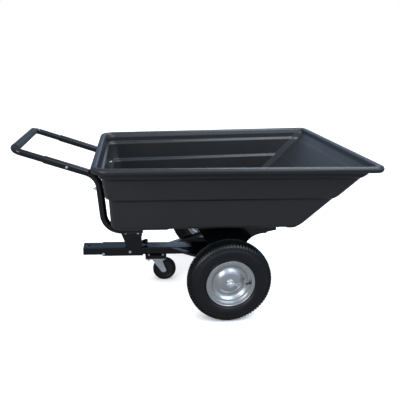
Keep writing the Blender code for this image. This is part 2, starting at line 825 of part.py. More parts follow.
def make_rest(parent):
    """The pedestal between the uprights. The tub's front member lies on its top."""
    drop = cross_member_height + 2 * fit_gap
    foot = axle_z + rest_leg_above_axle
    outline = [(rest_front_x, foot), (rest_rear_x, foot)]
    outline += [(x, floor_height(x) - drop) for x in (rest_rear_x, rest_front_x)]
    bm = bmesh.new()
    prism(bm, outline, "Y", -drawbar_half, drawbar_half)
    rest = placed(bm, "rest_channel", parent, "frame_paint")
    hollow = bmesh.new()
    inner = drawbar_half - bracket_sheet
    ends = (rest_front_x - 0.01, rest_rear_x + 0.01)
    outline = [(ends[0], foot - 0.01), (ends[1], foot - 0.01)]
    outline += [(x, floor_height(x) - drop - bracket_sheet) for x in ends[::-1]]
    prism(hollow, outline, "Y", -inner, inner)
    cut(rest, hollow, "fold")
    holes = bmesh.new()
    for x, z in rest_bolt_spots():
        cylinder(holes, (x, -0.06, z), (x, 0.06, z), 0.0043, 12)
    notch_front = catch_x - catch_sheet / 2 - 0.004
    web = floor_height(catch_x) - drop
    box(holes, (notch_front, -notch_half, web - 0.02), (rest_rear_x + 0.01, notch_half, web + 0.02))
    cut(rest, holes, "notch_and_holes")


def make_axle(parent):
    tube_end = rail_outer_y - rail_sheet - fit_gap
    bm = bmesh.new()
    bore = axle_radius + fit_gap
    ring_tube(bm, (0, -tube_end, axle_z), (0, tube_end, axle_z), axle_tube_radius, bore)
    tube = placed(bm, "axle_tube", parent, "frame_paint")
    holes = bmesh.new()
    cylinder(holes, (0, 0, axle_z - 0.03), (0, 0, axle_z + 0.03), 0.0043, 12)
    cut(tube, holes, "holes")
    end = wheel_offset + hub_length / 2 + axle_overhang
    chamfer = 0.002
    profile = [(axle_radius - chamfer, 0), (axle_radius, chamfer)]
    profile += [(axle_radius, 2 * end - chamfer), (axle_radius - chamfer, 2 * end)]
    bm = bmesh.new()
    lathe(bm, profile, Vector((0, -end, axle_z)), Vector((0, 1, 0)), 16, False)
    rod = placed(bm, "axle_rod", parent, "zinc")
    holes = bmesh.new()
    cylinder(holes, (0, 0, axle_z - 0.02), (0, 0, axle_z + 0.02), 0.0043, 12)
    for side, sign in left_and_right:
        y = sign * cotter_y
        cylinder(holes, (-0.02, y, axle_z), (0.02, y, axle_z), cotter_wire + 0.0015, 12)
    cut(rod, holes, "holes")
    seat = (0, 0, drawbar_bottom - fit_gap)
    grip = axle_z + axle_tube_radius + fit_gap - seat[2]
    bolt("axle_bolt", parent, seat, (0, 0, 1), 0.008, grip, tail=0.012)


hub_outer_y = wheel_offset + hub_length / 2
hub_inner_y = wheel_offset - hub_length / 2
cotter_y = hub_outer_y + 0.0055


def make_axle_fittings(side, sign, parent):
    bore = axle_radius + fit_gap
    bm = bmesh.new()
    ends = (sign * (rail_outer_y + fit_gap), sign * (hub_inner_y - fit_gap))
    ring_tube(bm, (0, ends[0], axle_z), (0, ends[1], axle_z), 0.0140, bore)
    placed(bm, "axle_spacer_" + side, parent, "zinc")
    bm = bmesh.new()
    ends = (sign * (hub_outer_y + fit_gap), sign * (hub_outer_y + 0.0028))
    ring_tube(bm, (0, ends[0], axle_z), (0, ends[1], axle_z), 0.0180, bore)
    placed(bm, "axle_washer_" + side, parent, "zinc")
    make_cotter("cotter_pin_" + side, Vector((0, sign * cotter_y, axle_z)), parent)


def make_cotter(name, middle, parent):
    """A split pin: one wire from leg to leg, through the axle, round the eye and back. The legs are spread."""
    lane = cotter_wire + fit_gap / 2
    knee = axle_radius + 0.0025
    turn_in = math.asin(lane / cotter_eye)
    eye_x = -knee - cotter_eye * math.cos(turn_in)
    spots = [(cotter_reach, 0.0045), (knee, lane)]
    for i in range(9):
        turn = turn_in + (2 * math.pi - 2 * turn_in) * i / 8
        spots.append((eye_x + cotter_eye * math.cos(turn), cotter_eye * math.sin(turn)))
    spots += [(knee, -lane), (0.95 * cotter_reach, -0.0085)]
    points = [middle + Vector((x, 0, z)) for x, z in spots]
    path = []
    for i, point in enumerate(points):
        before = points[max(i - 1, 0)]
        after = points[min(i + 1, len(points) - 1)]
        path.append((point, (after - before).normalized()))
    bm = bmesh.new()
    pipe(bm, path, Vector((0, 1, 0)), cotter_wire, 0, 6)
    placed(bm, name, parent, "zinc")


def make_brace(side, sign, parent):
    """A flat tube from the drawbar's side back to the axle tube, its ends cut to fit both."""
    start = Vector((brace_front_x, drawbar_half + fit_gap))
    end = Vector((-axle_tube_radius - fit_gap, brace_outer_y))
    way = (end - start).normalized()
    across = Vector((-way.y, way.x))
    high = axle_z + 0.001

    def ring(at_axle, inset):
        points = []
        for shift, drop in ((0, 0), (1, 0), (1, 1), (0, 1)):
            offset = inset + (brace_width - 2 * inset) * shift
            base = start - across * offset
            reach = (end.x - base.x) / way.x if at_axle else (start.y - base.y) / way.y
            spot = base + way * reach
            z = high - inset - (brace_height - 2 * inset) * drop
            points.append(Vector((spot.x, sign * spot.y, z)))
        return points

    bm = bmesh.new()
    loft(bm, [ring(False, 0), ring(True, 0), ring(True, 0.002), ring(False, 0.002)], joined=True)
    placed(bm, "axle_brace_" + side, parent, "frame_paint")


def make_latch_housing(parent):
    steps = 10
    outer = 0.016
    outline = [(-outer, drawbar_top + fit_gap), (outer, drawbar_top + fit_gap)]
    for i in range(steps + 1):
        turn = math.pi * i / steps
        outline.append((outer * math.cos(turn), latch_z + outer * math.sin(turn)))
    bm = bmesh.new()
    prism(bm, outline, "X", latch_housing_front_x, latch_housing_rear_x)
    housing = placed(bm, "latch_housing", parent, "frame_paint")
    bore = bmesh.new()
    ends = (latch_housing_front_x - 0.01, latch_housing_rear_x + 0.01)
    cylinder(bore, (ends[0], 0, latch_z), (ends[1], 0, latch_z), latch_radius + fit_gap)
    cut(housing, bore, "bore")


def make_latch(parent):
    tip = catch_x - 0.013
    knob_front = latch_housing_rear_x + 0.004
    profile = [(latch_radius - 0.002, 0), (latch_radius, 0.003)]
    profile += [(latch_radius, knob_front + 0.016 - tip)]
    bm = bmesh.new()
    lathe(bm, profile, Vector((tip, 0, latch_z)), Vector((1, 0, 0)), 16, False)
    placed(bm, "latch_pin", parent, "zinc")
    bore = latch_radius + fit_gap
    profile = [(bore, 0.016 + fit_gap), (bore, 0), (0.6 * knob_radius, 0), (0.8 * knob_radius, 0.010)]
    profile += [(knob_radius, 0.016), (knob_radius, knob_length - 0.004), (0.75 * knob_radius, knob_length)]
    bm = bmesh.new()
    lathe(bm, profile, Vector((knob_front, 0, latch_z)), Vector((1, 0, 0)), 16, False)
    placed(bm, "latch_knob", parent, "knob_plastic")


# Wheels.
def tyre_profile():
    """Closed section of the tyre: outside from bead to bead, then back along the inside."""
    bead = rim_bead_radius + fit_gap
    bead_y = 0.0385
    crown = tyre_radius
    shoulder = tyre_radius - tread_depth
    widest = tyre_half_width
    outside = [(bead, bead_y), (rim_flange_radius + 0.0012, bead_y), (0.1240, widest - 0.0085)]
    outside += [(0.1440, widest - 0.0015), (0.1560, widest), (0.1690, widest - 0.0008)]
    outside += [(shoulder - 0.0035, widest - 0.0060), (shoulder + 0.0015, 0.0330), (crown, 0.0110)]
    inside = [(0.1060, 0.0280), (0.1500, tyre_half_width - tyre_wall), (crown - 0.014, 0.0260)]
    profile = [(radius, y) for radius, y in outside]
    profile += [(radius, -y) for radius, y in outside[::-1]]
    profile += [(radius, -y) for radius, y in inside]
    profile += [(radius, y) for radius, y in inside[::-1]]
    return profile, len(outside)


def make_tyre(side, sign, parent):
    centre = Vector((0, sign * wheel_offset, axle_z))
    profile, count = tyre_profile()
    bm = bmesh.new()
    bands = lathe(bm, profile, centre, Vector((0, 1, 0)), tread_sections)
    lugs = []
    for band, odd in ((count - 4, 0), (count - 3, 1), (count + 1, 0), (count + 2, 1)):
        lugs += bands[band][odd::2]
    bmesh.ops.recalc_face_normals(bm, faces=bm.faces)
    bmesh.ops.inset_individual(bm, faces=lugs, thickness=0.0012, depth=0.0035)
    placed(bm, "tyre_" + side, parent, "tyre_rubber", sharp=24)


def rim_profile():
    """Closed section of rim, disc and hub. The first number is the radius, the second points outboard."""
    lip = rim_flange_radius
    bead = rim_bead_radius
    sheet = rim_sheet
    well = rim_well_radius
    seat_y = rim_seat_half
    bore = bearing_radius + fit_gap
    half = hub_length / 2
    edge = disc_edge_y
    outer = [(lip, seat_y), (bead, seat_y), (bead, edge - 0.0012), (well, rim_well_half)]
    tyre_side = outer + [(radius, -y) for radius, y in outer[::-1]]
    inboard = [(lip, -seat_y - sheet), (bead - sheet, -seat_y - sheet), (bead - sheet, -edge)]
    inboard.append((well - sheet, -rim_well_half - 0.5 * sheet))
    face = 1.3 * sheet
    mid = (0.0570, (dome_y + disc_valley_y) / 2 - 0.0024)
    disc_front = [(hub_radius, dome_y + 0.0022), (dome_radius, dome_y), mid]
    disc_front += [(disc_valley_radius, disc_valley_y), (disc_valley_radius + 0.0055, disc_valley_y + 0.0010)]
    disc_front += [(well - 1.4 * sheet, edge - 0.0027), (well - 0.2 * sheet, edge)]
    disc_back = [(well - sheet, edge - 0.0066), (disc_valley_radius + 0.0065, disc_valley_y + 0.0010 - face)]
    disc_back += [(disc_valley_radius, disc_valley_y - face), (mid[0], mid[1] - 1.1 * face)]
    disc_back += [(dome_radius, dome_y - face), (hub_radius, dome_y - face + 0.0015)]
    hub = [(hub_radius, -half), (bore, -half), (bore, half), (hub_radius, half)]
    outboard = [(bead - sheet, edge), (bead - sheet, seat_y + sheet)]
    outboard += [(lip - 1.2 * sheet, seat_y + sheet), (lip - sheet, seat_y + 2 * sheet)]
    outboard.append((lip, seat_y + 2 * sheet))
    return tyre_side + inboard + disc_back + hub + disc_front + outboard


def make_wheel(side, sign, parent):
    centre = Vector((0, sign * wheel_offset, axle_z))
    outboard = Vector((0, sign, 0))
    make_tyre(side, sign, parent)
    bm = bmesh.new()
    lathe(bm, rim_profile(), centre, outboard, 28)
    placed(bm, "wheel_rim_" + side, parent, "rim_paint", sharp=38)
    half = hub_length / 2
    for end, low in (("outer", half - 0.012), ("inner", -half)):
        bm = bmesh.new()
        spots = (centre + outboard * low, centre + outboard * (low + 0.012))
        ring_tube(bm, spots[0], spots[1], bearing_radius, axle_radius + fit_gap)
        placed(bm, "bearing_" + end + "_" + side, parent, "core_plastic")
    base_radius = rim_bead_radius - rim_sheet - 0.0017
    base = centre + Vector((base_radius, 0, 0)) + outboard * 0.0335
    way = (Vector((-0.028, 0, 0)) + outboard * 0.010).normalized()
    bm = bmesh.new()
    profile = [(0.0040, 0), (0.0055, 0.0012), (0.0048, 0.0030), (0.0036, 0.0200), (0.0042, 0.0205)]
    profile += [(0.0042, 0.0280), (0.0030, 0.0290)]
    lathe(bm, profile, base, way, 8, False)
    placed(bm, "valve_stem_" + side, parent, "valve_rubber")


# Castor.
def make_castor_mount(parent):
    front = castor_x - castor_plate_length / 2
    rear = castor_x + castor_plate_length / 2

    def section(inset):
        half = castor_plate_half - inset
        low = castor_plate_top + fit_gap + inset
        high = drawbar_bottom - fit_gap - inset
        return [(-half, low), (half, low), (half, high), (-half, high)]

    bm = bmesh.new()
    sleeve(bm, section(0), section(0.003), "X", front, rear)
    mount = placed(bm, "castor_mount", parent, "frame_paint")
    holes = bmesh.new()
    for name, x, y in castor_bolt_spots():
        cylinder(holes, (x, y, castor_plate_bottom), (x, y, drawbar_bottom + 0.02), 0.0043, 12)
    low = castor_plate_top - 0.002
    cylinder(holes, (castor_x, 0, low), (castor_x, 0, low + 0.009), 0.0130, 16)
    cut(mount, holes, "holes")
    corners = [(front, -castor_plate_half), (rear, -castor_plate_half)]
    corners += [(rear, castor_plate_half), (front, castor_plate_half)]
    bm = bmesh.new()
    outline = rounded(corners, (0.008,) * 4, 3)
    prism(bm, outline, "Z", castor_plate_bottom, castor_plate_top)
    plate = placed(bm, "castor_plate", parent, "zinc")
    holes = bmesh.new()
    for name, x, y in castor_bolt_spots():
        cylinder(holes, (x, y, castor_plate_bottom - 0.01), (x, y, castor_plate_top + 0.01), 0.0043, 12)
    spot = (castor_x, 0, castor_plate_bottom - 0.01)
    cylinder(holes, spot, (castor_x, 0, castor_plate_top + 0.01), kingpin_radius + fit_gap)
    cut(plate, holes, "holes")
    seat_z = drawbar_bottom
    grip = seat_z - castor_plate_bottom + fit_gap
    for name, x, y in castor_bolt_spots():
        bolt("castor_bolt_" + name, parent, (x, y, seat_z), (0, 0, -1), 0.008, grip, tail=0.002)
    make_kingpin(parent)


def castor_bolt_spots():
    spots = []
    for side, sign in left_and_right:
        for end, way in (("front", -1), ("rear", 1)):
            spots.append((end + "_" + side, castor_x + way * castor_bolt_x, sign * castor_bolt_y))
    return spots


def make_kingpin(parent):
    """The swivel pin with its head, its nut and the ball race round it."""
    plate_foot = castor_plate_bottom - fit_gap
    race_foot = crown_top + fit_gap
    nut_top = crown_bottom - fit_gap
    nut_foot = nut_top - 0.009
    pin = kingpin_radius
    steps = [(0.0110, castor_plate_top + fit_gap + 0.003), (0.0110, castor_plate_top + fit_gap)]
    steps += [(pin, castor_plate_top + fit_gap), (pin, plate_foot), (0.0200, plate_foot)]
    steps += [(0.0235, (plate_foot + race_foot) / 2), (0.0200, race_foot), (pin, race_foot), (pin, nut_top)]
    down = Vector((0, 0, -1))
    rings = [circle(Vector((castor_x, 0, z)), down, radius, 12) for radius, z in steps]
    rings.append(hexagon(Vector((castor_x, 0, nut_top)), down, 0.0105))
    rings.append(hexagon(Vector((castor_x, 0, nut_foot)), down, 0.0105))
    rings.append(circle(Vector((castor_x, 0, nut_foot)), down, pin, 12))
    rings.append(circle(Vector((castor_x, 0, nut_foot - 0.003)), down, pin, 12))
    bm = bmesh.new()
    loft(bm, rings)
    placed(bm, "castor_kingpin", parent, "zinc", sharp=29)


def make_fork(parent):
    hub_x = castor_x + castor_trail
    inner = castor_half_width + 0.004
    outer = inner + fork_sheet
    crown_front = castor_x - 0.0185
    crown_rear = castor_x + 0.0295
    outline = [(crown_front, crown_top), (crown_front, crown_bottom - 0.006)]
    outline += [(hub_x - 0.0145, castor_radius - 0.014), (hub_x + 0.013, castor_radius - 0.014)]
    outline.append((crown_rear, crown_top))
    bm = bmesh.new()
    prism(bm, rounded(outline, (0.002, 0.004, 0.012, 0.012, 0.002), 4), "Y", -outer, outer)
    fork = placed(bm, "castor_fork", parent, "zinc")
    hollow = bmesh.new()
    box(hollow, (hub_x - 0.1, -inner, 0), (hub_x + 0.1, inner, crown_bottom))
    cut(fork, hollow, "fold")
    holes = bmesh.new()
    low = crown_bottom - 0.01
    cylinder(holes, (castor_x, 0, low), (castor_x, 0, crown_top + 0.01), kingpin_radius + fit_gap)
    cylinder(holes, (hub_x, -0.04, castor_radius), (hub_x, 0.04, castor_radius), 0.0053)
    cut(fork, holes, "holes")
    seat_y = -outer - fit_gap
    bolt("castor_axle_bolt", parent, (hub_x, seat_y, castor_radius), (0, 1, 0), 0.010, -2 * seat_y)


def make_castor_wheel(parent):
    centre = Vector((castor_x + castor_trail, 0, castor_radius))
    along = Vector((0, 1, 0))
    width = castor_half_width
    inner = 0.0445
    profile = [(inner, -width + 0.001), (0.0560, -width), (castor_radius - 0.002, -width + 0.0035)]
    profile += [(castor_radius, -0.5 * width), (castor_radius, 0.5 * width)]
    profile += [(castor_radius - 0.002, width - 0.0035), (0.0560, width), (inner, width - 0.001)]
    bm = bmesh.new()
    lathe(bm, profile, centre, along, 28)
    placed(bm, "castor_tyre", parent, "castor_rubber")
    rim = inner - fit_gap
    hub = width + 0.0035
    half = [(0.0053, hub), (0.0125, hub), (0.0135, 0.0070), (0.0370, 0.0055), (0.0385, width - 0.002)]
    half.append((rim, width - 0.002))
    profile = half + [(radius, -y) for radius, y in half[::-1]]
    bm = bmesh.new()
    lathe(bm, profile, centre, along, 20)
    placed(bm, "castor_core", parent, "core_plastic")


# Assembly.
frame_origin = anchor("frame_origin", (0, 0, 0))
frame_origin.location = (shift_x, 0, 0)
tub_hinge = anchor("tub_hinge", (0, 0, axle_z), frame_origin)
handle_slide = anchor("handle_slide", socket_point, tub_hinge)
latch_slide = anchor("latch_slide", (catch_x, 0, latch_z), frame_origin)
castor_swivel = anchor("castor_swivel", (castor_x, 0, castor_radius), frame_origin)
castor_axle = anchor("castor_axle", (castor_x + castor_trail, 0, castor_radius), castor_swivel)

make_drawbar(frame_origin)
make_bracket(frame_origin)
make_rest(frame_origin)
make_axle(frame_origin)
make_latch_housing(frame_origin)
make_castor_mount(frame_origin)
make_fork(castor_swivel)
make_castor_wheel(castor_axle)
make_latch(latch_slide)
make_tub(tub_hinge)
make_cross_member(tub_hinge)
make_rear_channel(tub_hinge)
make_catch_plate(tub_hinge)
make_handle(handle_slide)
for side, sign in left_and_right:
    make_side_tube(side, sign, tub_hinge)
    make_rail(side, sign, tub_hinge)
    make_brace(side, sign, frame_origin)
    make_axle_fittings(side, sign, frame_origin)
    wheel_axis = anchor("wheel_axis_" + side, (0, sign * wheel_offset, axle_z), frame_origin)
    make_wheel(side, sign, wheel_axis)
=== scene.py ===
import json
import math

import bmesh
import bpy
from mathutils import Matrix, Vector


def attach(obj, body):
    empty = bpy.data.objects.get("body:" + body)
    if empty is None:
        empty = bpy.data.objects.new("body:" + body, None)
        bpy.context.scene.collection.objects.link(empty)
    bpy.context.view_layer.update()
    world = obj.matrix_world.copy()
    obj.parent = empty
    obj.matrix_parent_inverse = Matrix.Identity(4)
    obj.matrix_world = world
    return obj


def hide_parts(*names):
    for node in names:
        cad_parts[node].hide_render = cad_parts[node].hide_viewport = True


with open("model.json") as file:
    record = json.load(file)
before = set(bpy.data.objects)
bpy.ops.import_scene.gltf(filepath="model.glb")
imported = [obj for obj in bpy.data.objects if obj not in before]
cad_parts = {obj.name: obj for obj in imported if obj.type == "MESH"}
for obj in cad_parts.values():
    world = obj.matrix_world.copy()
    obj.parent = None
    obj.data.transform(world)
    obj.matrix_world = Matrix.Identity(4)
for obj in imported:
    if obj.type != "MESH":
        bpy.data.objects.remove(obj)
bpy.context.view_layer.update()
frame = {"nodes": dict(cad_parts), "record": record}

# Sizes in metres, with the wheel axle at x = 0. They follow the part's source, except where the photograph
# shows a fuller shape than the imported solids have. The rim, the spout's outer face and the upper front wall
# stand up to 10 mm further out here, and the tyres and the wheels' discs have rounder sections.
axle_z = 0.200
wheel_offset = 0.4274
hub_length = 0.080

# Tub. Depths are measured down from the rim, insets inward from its outer edge.
rim_front_x, rim_rear_x = -0.6320, 0.6486
rim_front_half, rim_rear_half = 0.457, 0.5365
rim_above_axle, rim_pitch = 0.5533, 0.0366
flange_width, front_flange_width, lip_drop, rim_rise = 0.036, 0.0372, 0.0245, 0.003
rim_crest, lip_foot_degrees, flange_corner = 0.0175, -50, 0.004
tub_sheet, tub_depth, tub_draft = 0.004, 0.308, 0.069
step_depths, step_height, step_in = (0.050, 0.150), 0.0135, 0.013
spout_start, spout_step, spout_slope = 0.0275, 0.0018, 1.03
floor_round, spout_floor_share, front_swell = 0.025, 0.15, 0.008
floor_face_inset, floor_face_rear = 0.014, 0.016
rim_front_corner, rim_rear_corner, rim_inner_corner = 0.080, 0.052, 0.030
wall_front_corner, corner_cut, corner_cut_round = 0.055, 0.032, 0.014
front_corner_steps, rear_corner_steps, floor_steps = 12, 6, 10
ledge_steps, ledge_margin, spout_crease = 6, 0.003, (0.0040, 0.0015, -0.0005)
recess_front_x, recess_rear_x, recess_rise, recess_taper = -0.284, 0.250, 0.0045, 0.012
nearly_whole = 0.998

# Frame tubes, handle and grip.
tube_radius, tube_sheet, tube_bend = 0.0176, 0.0020, 0.085
tube_foot_x, tube_end_x = -0.580, -0.400
run_lean = math.radians(6.3)
arm_angle = math.radians(17.1)
arm_offset, arm_length = 0.2597, 0.2468
socket_x, socket_below_rim = -0.8420, 0.0239
cross_member_height = 0.019
handle_radius, handle_sheet, handle_bend = 0.0150, 0.002, 0.034
handle_inserted, handle_reach = 0.115, 0.1353
tube_end_ease, tube_bore_ease, handle_end_ease = 0.0006, 0.0005, 0.0004
grip_radius = 0.0190
hand_place, hand_spread, hand_press = 0.11, 0.045, 0.0004
grip_wave, grip_wave_rate = 0.0001, 170
fit_gap, hair_wider = 0.0003, 1.001

# Tyre tread. Places are measured from the tyre's middle, samples and shares in parts of a block's pitch.
tread_blocks, tread_height = 80, 0.0045
centre_rib, rib_teeth, block_row, shoulder_row = 0.0060, 0.0085, (0.0125, 0.0245), 0.0270
row_block_share, shoulder_block_share = 0.62, 0.56
pitch_samples = (0.0, 0.03, 0.10, 0.22, 0.25, 0.34, 0.37, 0.47, 0.50, 0.55, 0.58, 0.72, 0.75, 0.78, 0.97)

# Castor.
castor_x, castor_trail = -0.3235, 0.0515
castor_radius, castor_bore, castor_half_width = 0.0625, 0.0445, 0.0175

# Softened edges of the carried-over solids.
edge_width, drawbar_edge_width, weld_reach = 0.0006, 0.0022, 0.00002

# Camera, fitted to the photograph with the near wheel standing on the floor.
photo_width_px, focal_length_px = 400, 481.2
camera_x, camera_y, camera_z = -0.462995, -2.427, 1.2354
camera_yaw, camera_pitch, camera_roll = 0.1519, 0.3066, 0.0487
sensor_width_mm = 36

# Studio: how strongly the paper glows, and what part of paper and sky glossy surfaces mirror.
paper_glow, mirrored_paper, mirrored_sky = 0.74, 0.15, 0.12

# Places that follow from the sizes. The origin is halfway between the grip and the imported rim's rear end.
packed_rear_x = 0.6392
rim_roll = (lip_drop + rim_rise) / (1 - math.sin(math.radians(lip_foot_degrees)))
arm_out = Vector((-math.cos(arm_angle), 0, math.sin(arm_angle)))
socket_point = Vector((socket_x, 0, axle_z + rim_above_axle - socket_below_rim))
grip_centre = socket_point + arm_out * handle_reach
shift_x = -(grip_centre.x - grip_radius + packed_rear_x) / 2
castor_centre = Vector((castor_x + castor_trail, 0, castor_radius))
left_and_right = (("left", -1), ("right", 1))


# Shader nodes.
class Nodes:
    """A node tree with short ways to add to it."""

    def __init__(self, tree):
        self.tree = tree

    def add(self, kind):
        return self.tree.nodes.new(kind)

    def link(self, value, socket):
        """Joins a socket to another one, or sets it to a plain value."""
        if isinstance(value, bpy.types.NodeSocket):
            self.tree.links.new(value, socket)
        else:
            socket.default_value = value

    def spread(self, value, low, high, out_low=0.0, out_high=1.0):
        node = self.add("ShaderNodeMapRange")
        node.inputs["From Min"].default_value = low
        node.inputs["From Max"].default_value = high
        node.inputs["To Min"].default_value = out_low
        node.inputs["To Max"].default_value = out_high
        self.link(value, node.inputs["Value"])
        return node.outputs["Result"]

    def combine(self, operation, one, two):
        node = self.add("ShaderNodeMath")
        node.operation = operation
        self.link(one, node.inputs[0])
        self.link(two, node.inputs[1])
        return node.outputs["Value"]

    def mix(self, part, one, two):
        node = self.add("ShaderNodeMix")
        node.data_type = "RGBA"
        self.link(part, node.inputs["Factor"])
        self.link(one if isinstance(one, bpy.types.NodeSocket) else (*one, 1), node.inputs["A"])
        self.link(two if isinstance(two, bpy.types.NodeSocket) else (*two, 1), node.inputs["B"])
        return node.outputs["Result"]


class Paint(Nodes):
    """A node material round one Principled shader."""

    def __init__(self, name):
        self.material = bpy.data.materials.new(name)
        self.material.use_nodes = True
        super().__init__(self.material.node_tree)
        self.shader = self.tree.nodes["Principled BSDF"]
        self.place = self.add("ShaderNodeTexCoord").outputs["Object"]

    def noise(self, scale, detail, roughness, stretch=None):
        node = self.add("ShaderNodeTexNoise")
        node.inputs["Scale"].default_value = scale
        node.inputs["Detail"].default_value = detail
        node.inputs["Roughness"].default_value = roughness
        self.link(self.stretched(stretch) if stretch else self.place, node.inputs["Vector"])
        return node.outputs["Fac"]

    def cells(self, scale):
        node = self.add("ShaderNodeTexVoronoi")
        node.inputs["Scale"].default_value = scale
        self.link(self.place, node.inputs["Vector"])
        return node.outputs["Distance"]

    def stretched(self, scale):
        node = self.add("ShaderNodeMapping")
        node.inputs["Scale"].default_value = scale
        self.link(self.place, node.inputs["Vector"])
        return node.outputs["Vector"]

    def settled_dust_and_sky_sheen(self, lowest, scale, detail, low, high):
        """Dust where the surface looks up in the object's own frame, broken by noise. On the frame the same
        mask also carries a painted bluish sky sheen.
        """
        coords = self.add("ShaderNodeTexCoord")
        split = self.add("ShaderNodeSeparateXYZ")
        self.link(coords.outputs["Normal"], split.inputs["Vector"])
        upward = self.spread(split.outputs["Z"], lowest, 1.0)
        return self.combine("MULTIPLY", upward, self.spread(self.noise(scale, detail, 0.7), low, high))

    def tint(self, mask, strength, colour, tone):
        """The colour with a tone laid over it where the mask is."""
        return self.mix(self.combine("MULTIPLY", mask, strength), colour, tone)

    def gloss(self, cloud, low, high, mask=None, added=0.0):
        """Roughness that follows a cloud, and rises where the mask is."""
        rough = self.spread(cloud, 0.3, 0.7, low, high)
        if mask is None:
            return rough
        return self.combine("ADD", rough, self.combine("MULTIPLY", mask, added))

    def height(self, value, distance, strength):
        """Adds a bump on top of those that are there."""
        node = self.add("ShaderNodeBump")
        node.inputs["Distance"].default_value = distance
        node.inputs["Strength"].default_value = strength
        self.link(value, node.inputs["Height"])
        old = self.shader.inputs["Normal"].links
        if old:
            self.link(old[0].from_socket, node.inputs["Normal"])
        self.link(node.outputs["Normal"], self.shader.inputs["Normal"])

    def finish(self, colour, rough, metallic=0.0, specular=0.5):
        """Gives the shader its colour and roughness, and hands back the material."""
        self.link(colour, self.shader.inputs["Base Color"])
        self.link(rough, self.shader.inputs["Roughness"])
        self.shader.inputs["Metallic"].default_value = metallic
        self.shader.inputs["Specular IOR Level"].default_value = specular
        return self.material


# Materials.
def tub_plastic():
    paint = Paint("tub_plastic_moulded")
    flow = paint.noise(5, 5, 0.6)
    scuff = paint.spread(paint.noise(1, 4, 0.6, (14, 14, 160)), 0.60, 0.72)
    dust = paint.settled_dust_and_sky_sheen(0.2, 22, 7, 0.42, 0.75)
    colour = paint.mix(flow, (0.0182, 0.0172, 0.0178), (0.0242, 0.0230, 0.0237))
    colour = paint.tint(scuff, 0.22, colour, (0.035, 0.036, 0.040))
    colour = paint.tint(dust, 0.22, colour, (0.060, 0.060, 0.060))
    paint.height(paint.noise(750, 3, 0.6), 0.00022, 0.35)
    paint.height(paint.noise(18, 2, 0.5), 0.0012, 0.20)
    return paint.finish(colour, paint.gloss(flow, 0.27, 0.35, dust, 0.12), 0.0, 0.38)


def frame_paint():
    paint = Paint("frame_paint_powder")
    cloud = paint.noise(9, 4, 0.6)
    chips = paint.spread(paint.noise(130, 5, 0.7), 0.70, 0.74)
    dust = paint.settled_dust_and_sky_sheen(0.3, 30, 6, 0.45, 0.8)
    colour = paint.mix(cloud, (0.0025, 0.0025, 0.0029), (0.0038, 0.0038, 0.0044))
    colour = paint.tint(chips, 0.30, colour, (0.060, 0.058, 0.056))
    # Dust and a painted sky sheen: the up-facing tops are given a lighter bluish tone.
    colour = paint.tint(dust, 0.20, colour, (0.062, 0.070, 0.082))
    paint.height(paint.noise(420, 2, 0.5), 0.00015, 0.08)
    return paint.finish(colour, paint.gloss(cloud, 0.09, 0.15, dust, 0.2), 0.0, 0.48)


def zinc():
    paint = Paint("zinc_plate")
    spangle = paint.noise(160, 4, 0.6)
    colour = paint.mix(paint.noise(30, 4, 0.6), (0.72, 0.75, 0.78), (0.86, 0.87, 0.88))
    colour = paint.mix(paint.spread(spangle, 0.62, 0.80), colour, (0.40, 0.41, 0.42))
    paint.height(spangle, 0.00012, 0.3)
    return paint.finish(colour, paint.gloss(spangle, 0.24, 0.42), 0.72)


def rim_paint():
    paint = Paint("rim_paint_silver")
    flake = paint.noise(1400, 2, 0.5)
    grime = paint.spread(paint.noise(38, 7, 0.75), 0.60, 0.78)
    colour = paint.mix(paint.noise(14, 5, 0.6), (0.52, 0.52, 0.52), (0.62, 0.62, 0.62))
    colour = paint.tint(grime, 0.30, colour, (0.24, 0.23, 0.21))
    paint.height(flake, 0.00004, 0.20)
    return paint.finish(colour, paint.gloss(flake, 0.25, 0.32, grime, 0.15), 0.9)


def rubber(name, low, high, rough_low, rough_high):
    paint = Paint(name)
    cloud = paint.noise(12, 6, 0.65)
    dust = paint.spread(paint.noise(60, 7, 0.75), 0.52, 0.78)
    colour = paint.tint(dust, 0.08, paint.mix(cloud, low, high), (0.035, 0.034, 0.032))
    paint.height(paint.noise(600, 3, 0.6), 0.00025, 0.3)
    return paint.finish(colour, paint.gloss(cloud, rough_low, rough_high, dust, 0.1), 0.0, 0.46)


def foam():
    paint = Paint("foam_closed_cell")
    pores = paint.cells(1100)
    cloud = paint.noise(25, 5, 0.6)
    colour = paint.mix(cloud, (0.0110, 0.0118, 0.0140), (0.0180, 0.0192, 0.0222))
    # Painted shade: the colour darkens in each pore's hollow, at the low spots of the bump below.
    colour = paint.mix(paint.spread(pores, 0.0, 0.3, 0.5, 0.0), colour, (0.008, 0.008, 0.009))
    paint.height(pores, 0.0005, 0.5)
    paint.shader.inputs["Sheen Weight"].default_value = 0.05
    paint.shader.inputs["Sheen Roughness"].default_value = 0.5
    return paint.finish(colour, paint.gloss(cloud, 0.55, 0.68), 0.0, 0.3)


def plastic(name, low, high, rough):
    paint = Paint(name)
    cloud = paint.noise(40, 4, 0.6)
    paint.height(paint.noise(900, 2, 0.5), 0.00015, 0.25)
    return paint.finish(paint.mix(cloud, low, high), paint.gloss(cloud, rough - 0.05, rough + 0.07))


def tyre_rubber():
    return rubber("tyre_rubber_dusty", (0.0010, 0.0011, 0.0014), (0.0022, 0.0024, 0.0029), 0.33, 0.43)


def castor_rubber():
    return rubber("castor_rubber_smooth", (0.0020, 0.0020, 0.0022), (0.0040, 0.0040, 0.0044), 0.30, 0.42)


def core_plastic():
    return plastic("core_plastic_nylon", (0.014, 0.014, 0.015), (0.024, 0.024, 0.026), 0.42)


def knob_plastic():
    return plastic("knob_plastic_gloss", (0.008, 0.008, 0.009), (0.014, 0.014, 0.015), 0.28)


def valve_rubber():
    return rubber("valve_rubber_plain", (0.009, 0.009, 0.010), (0.014, 0.014, 0.015), 0.45, 0.6)


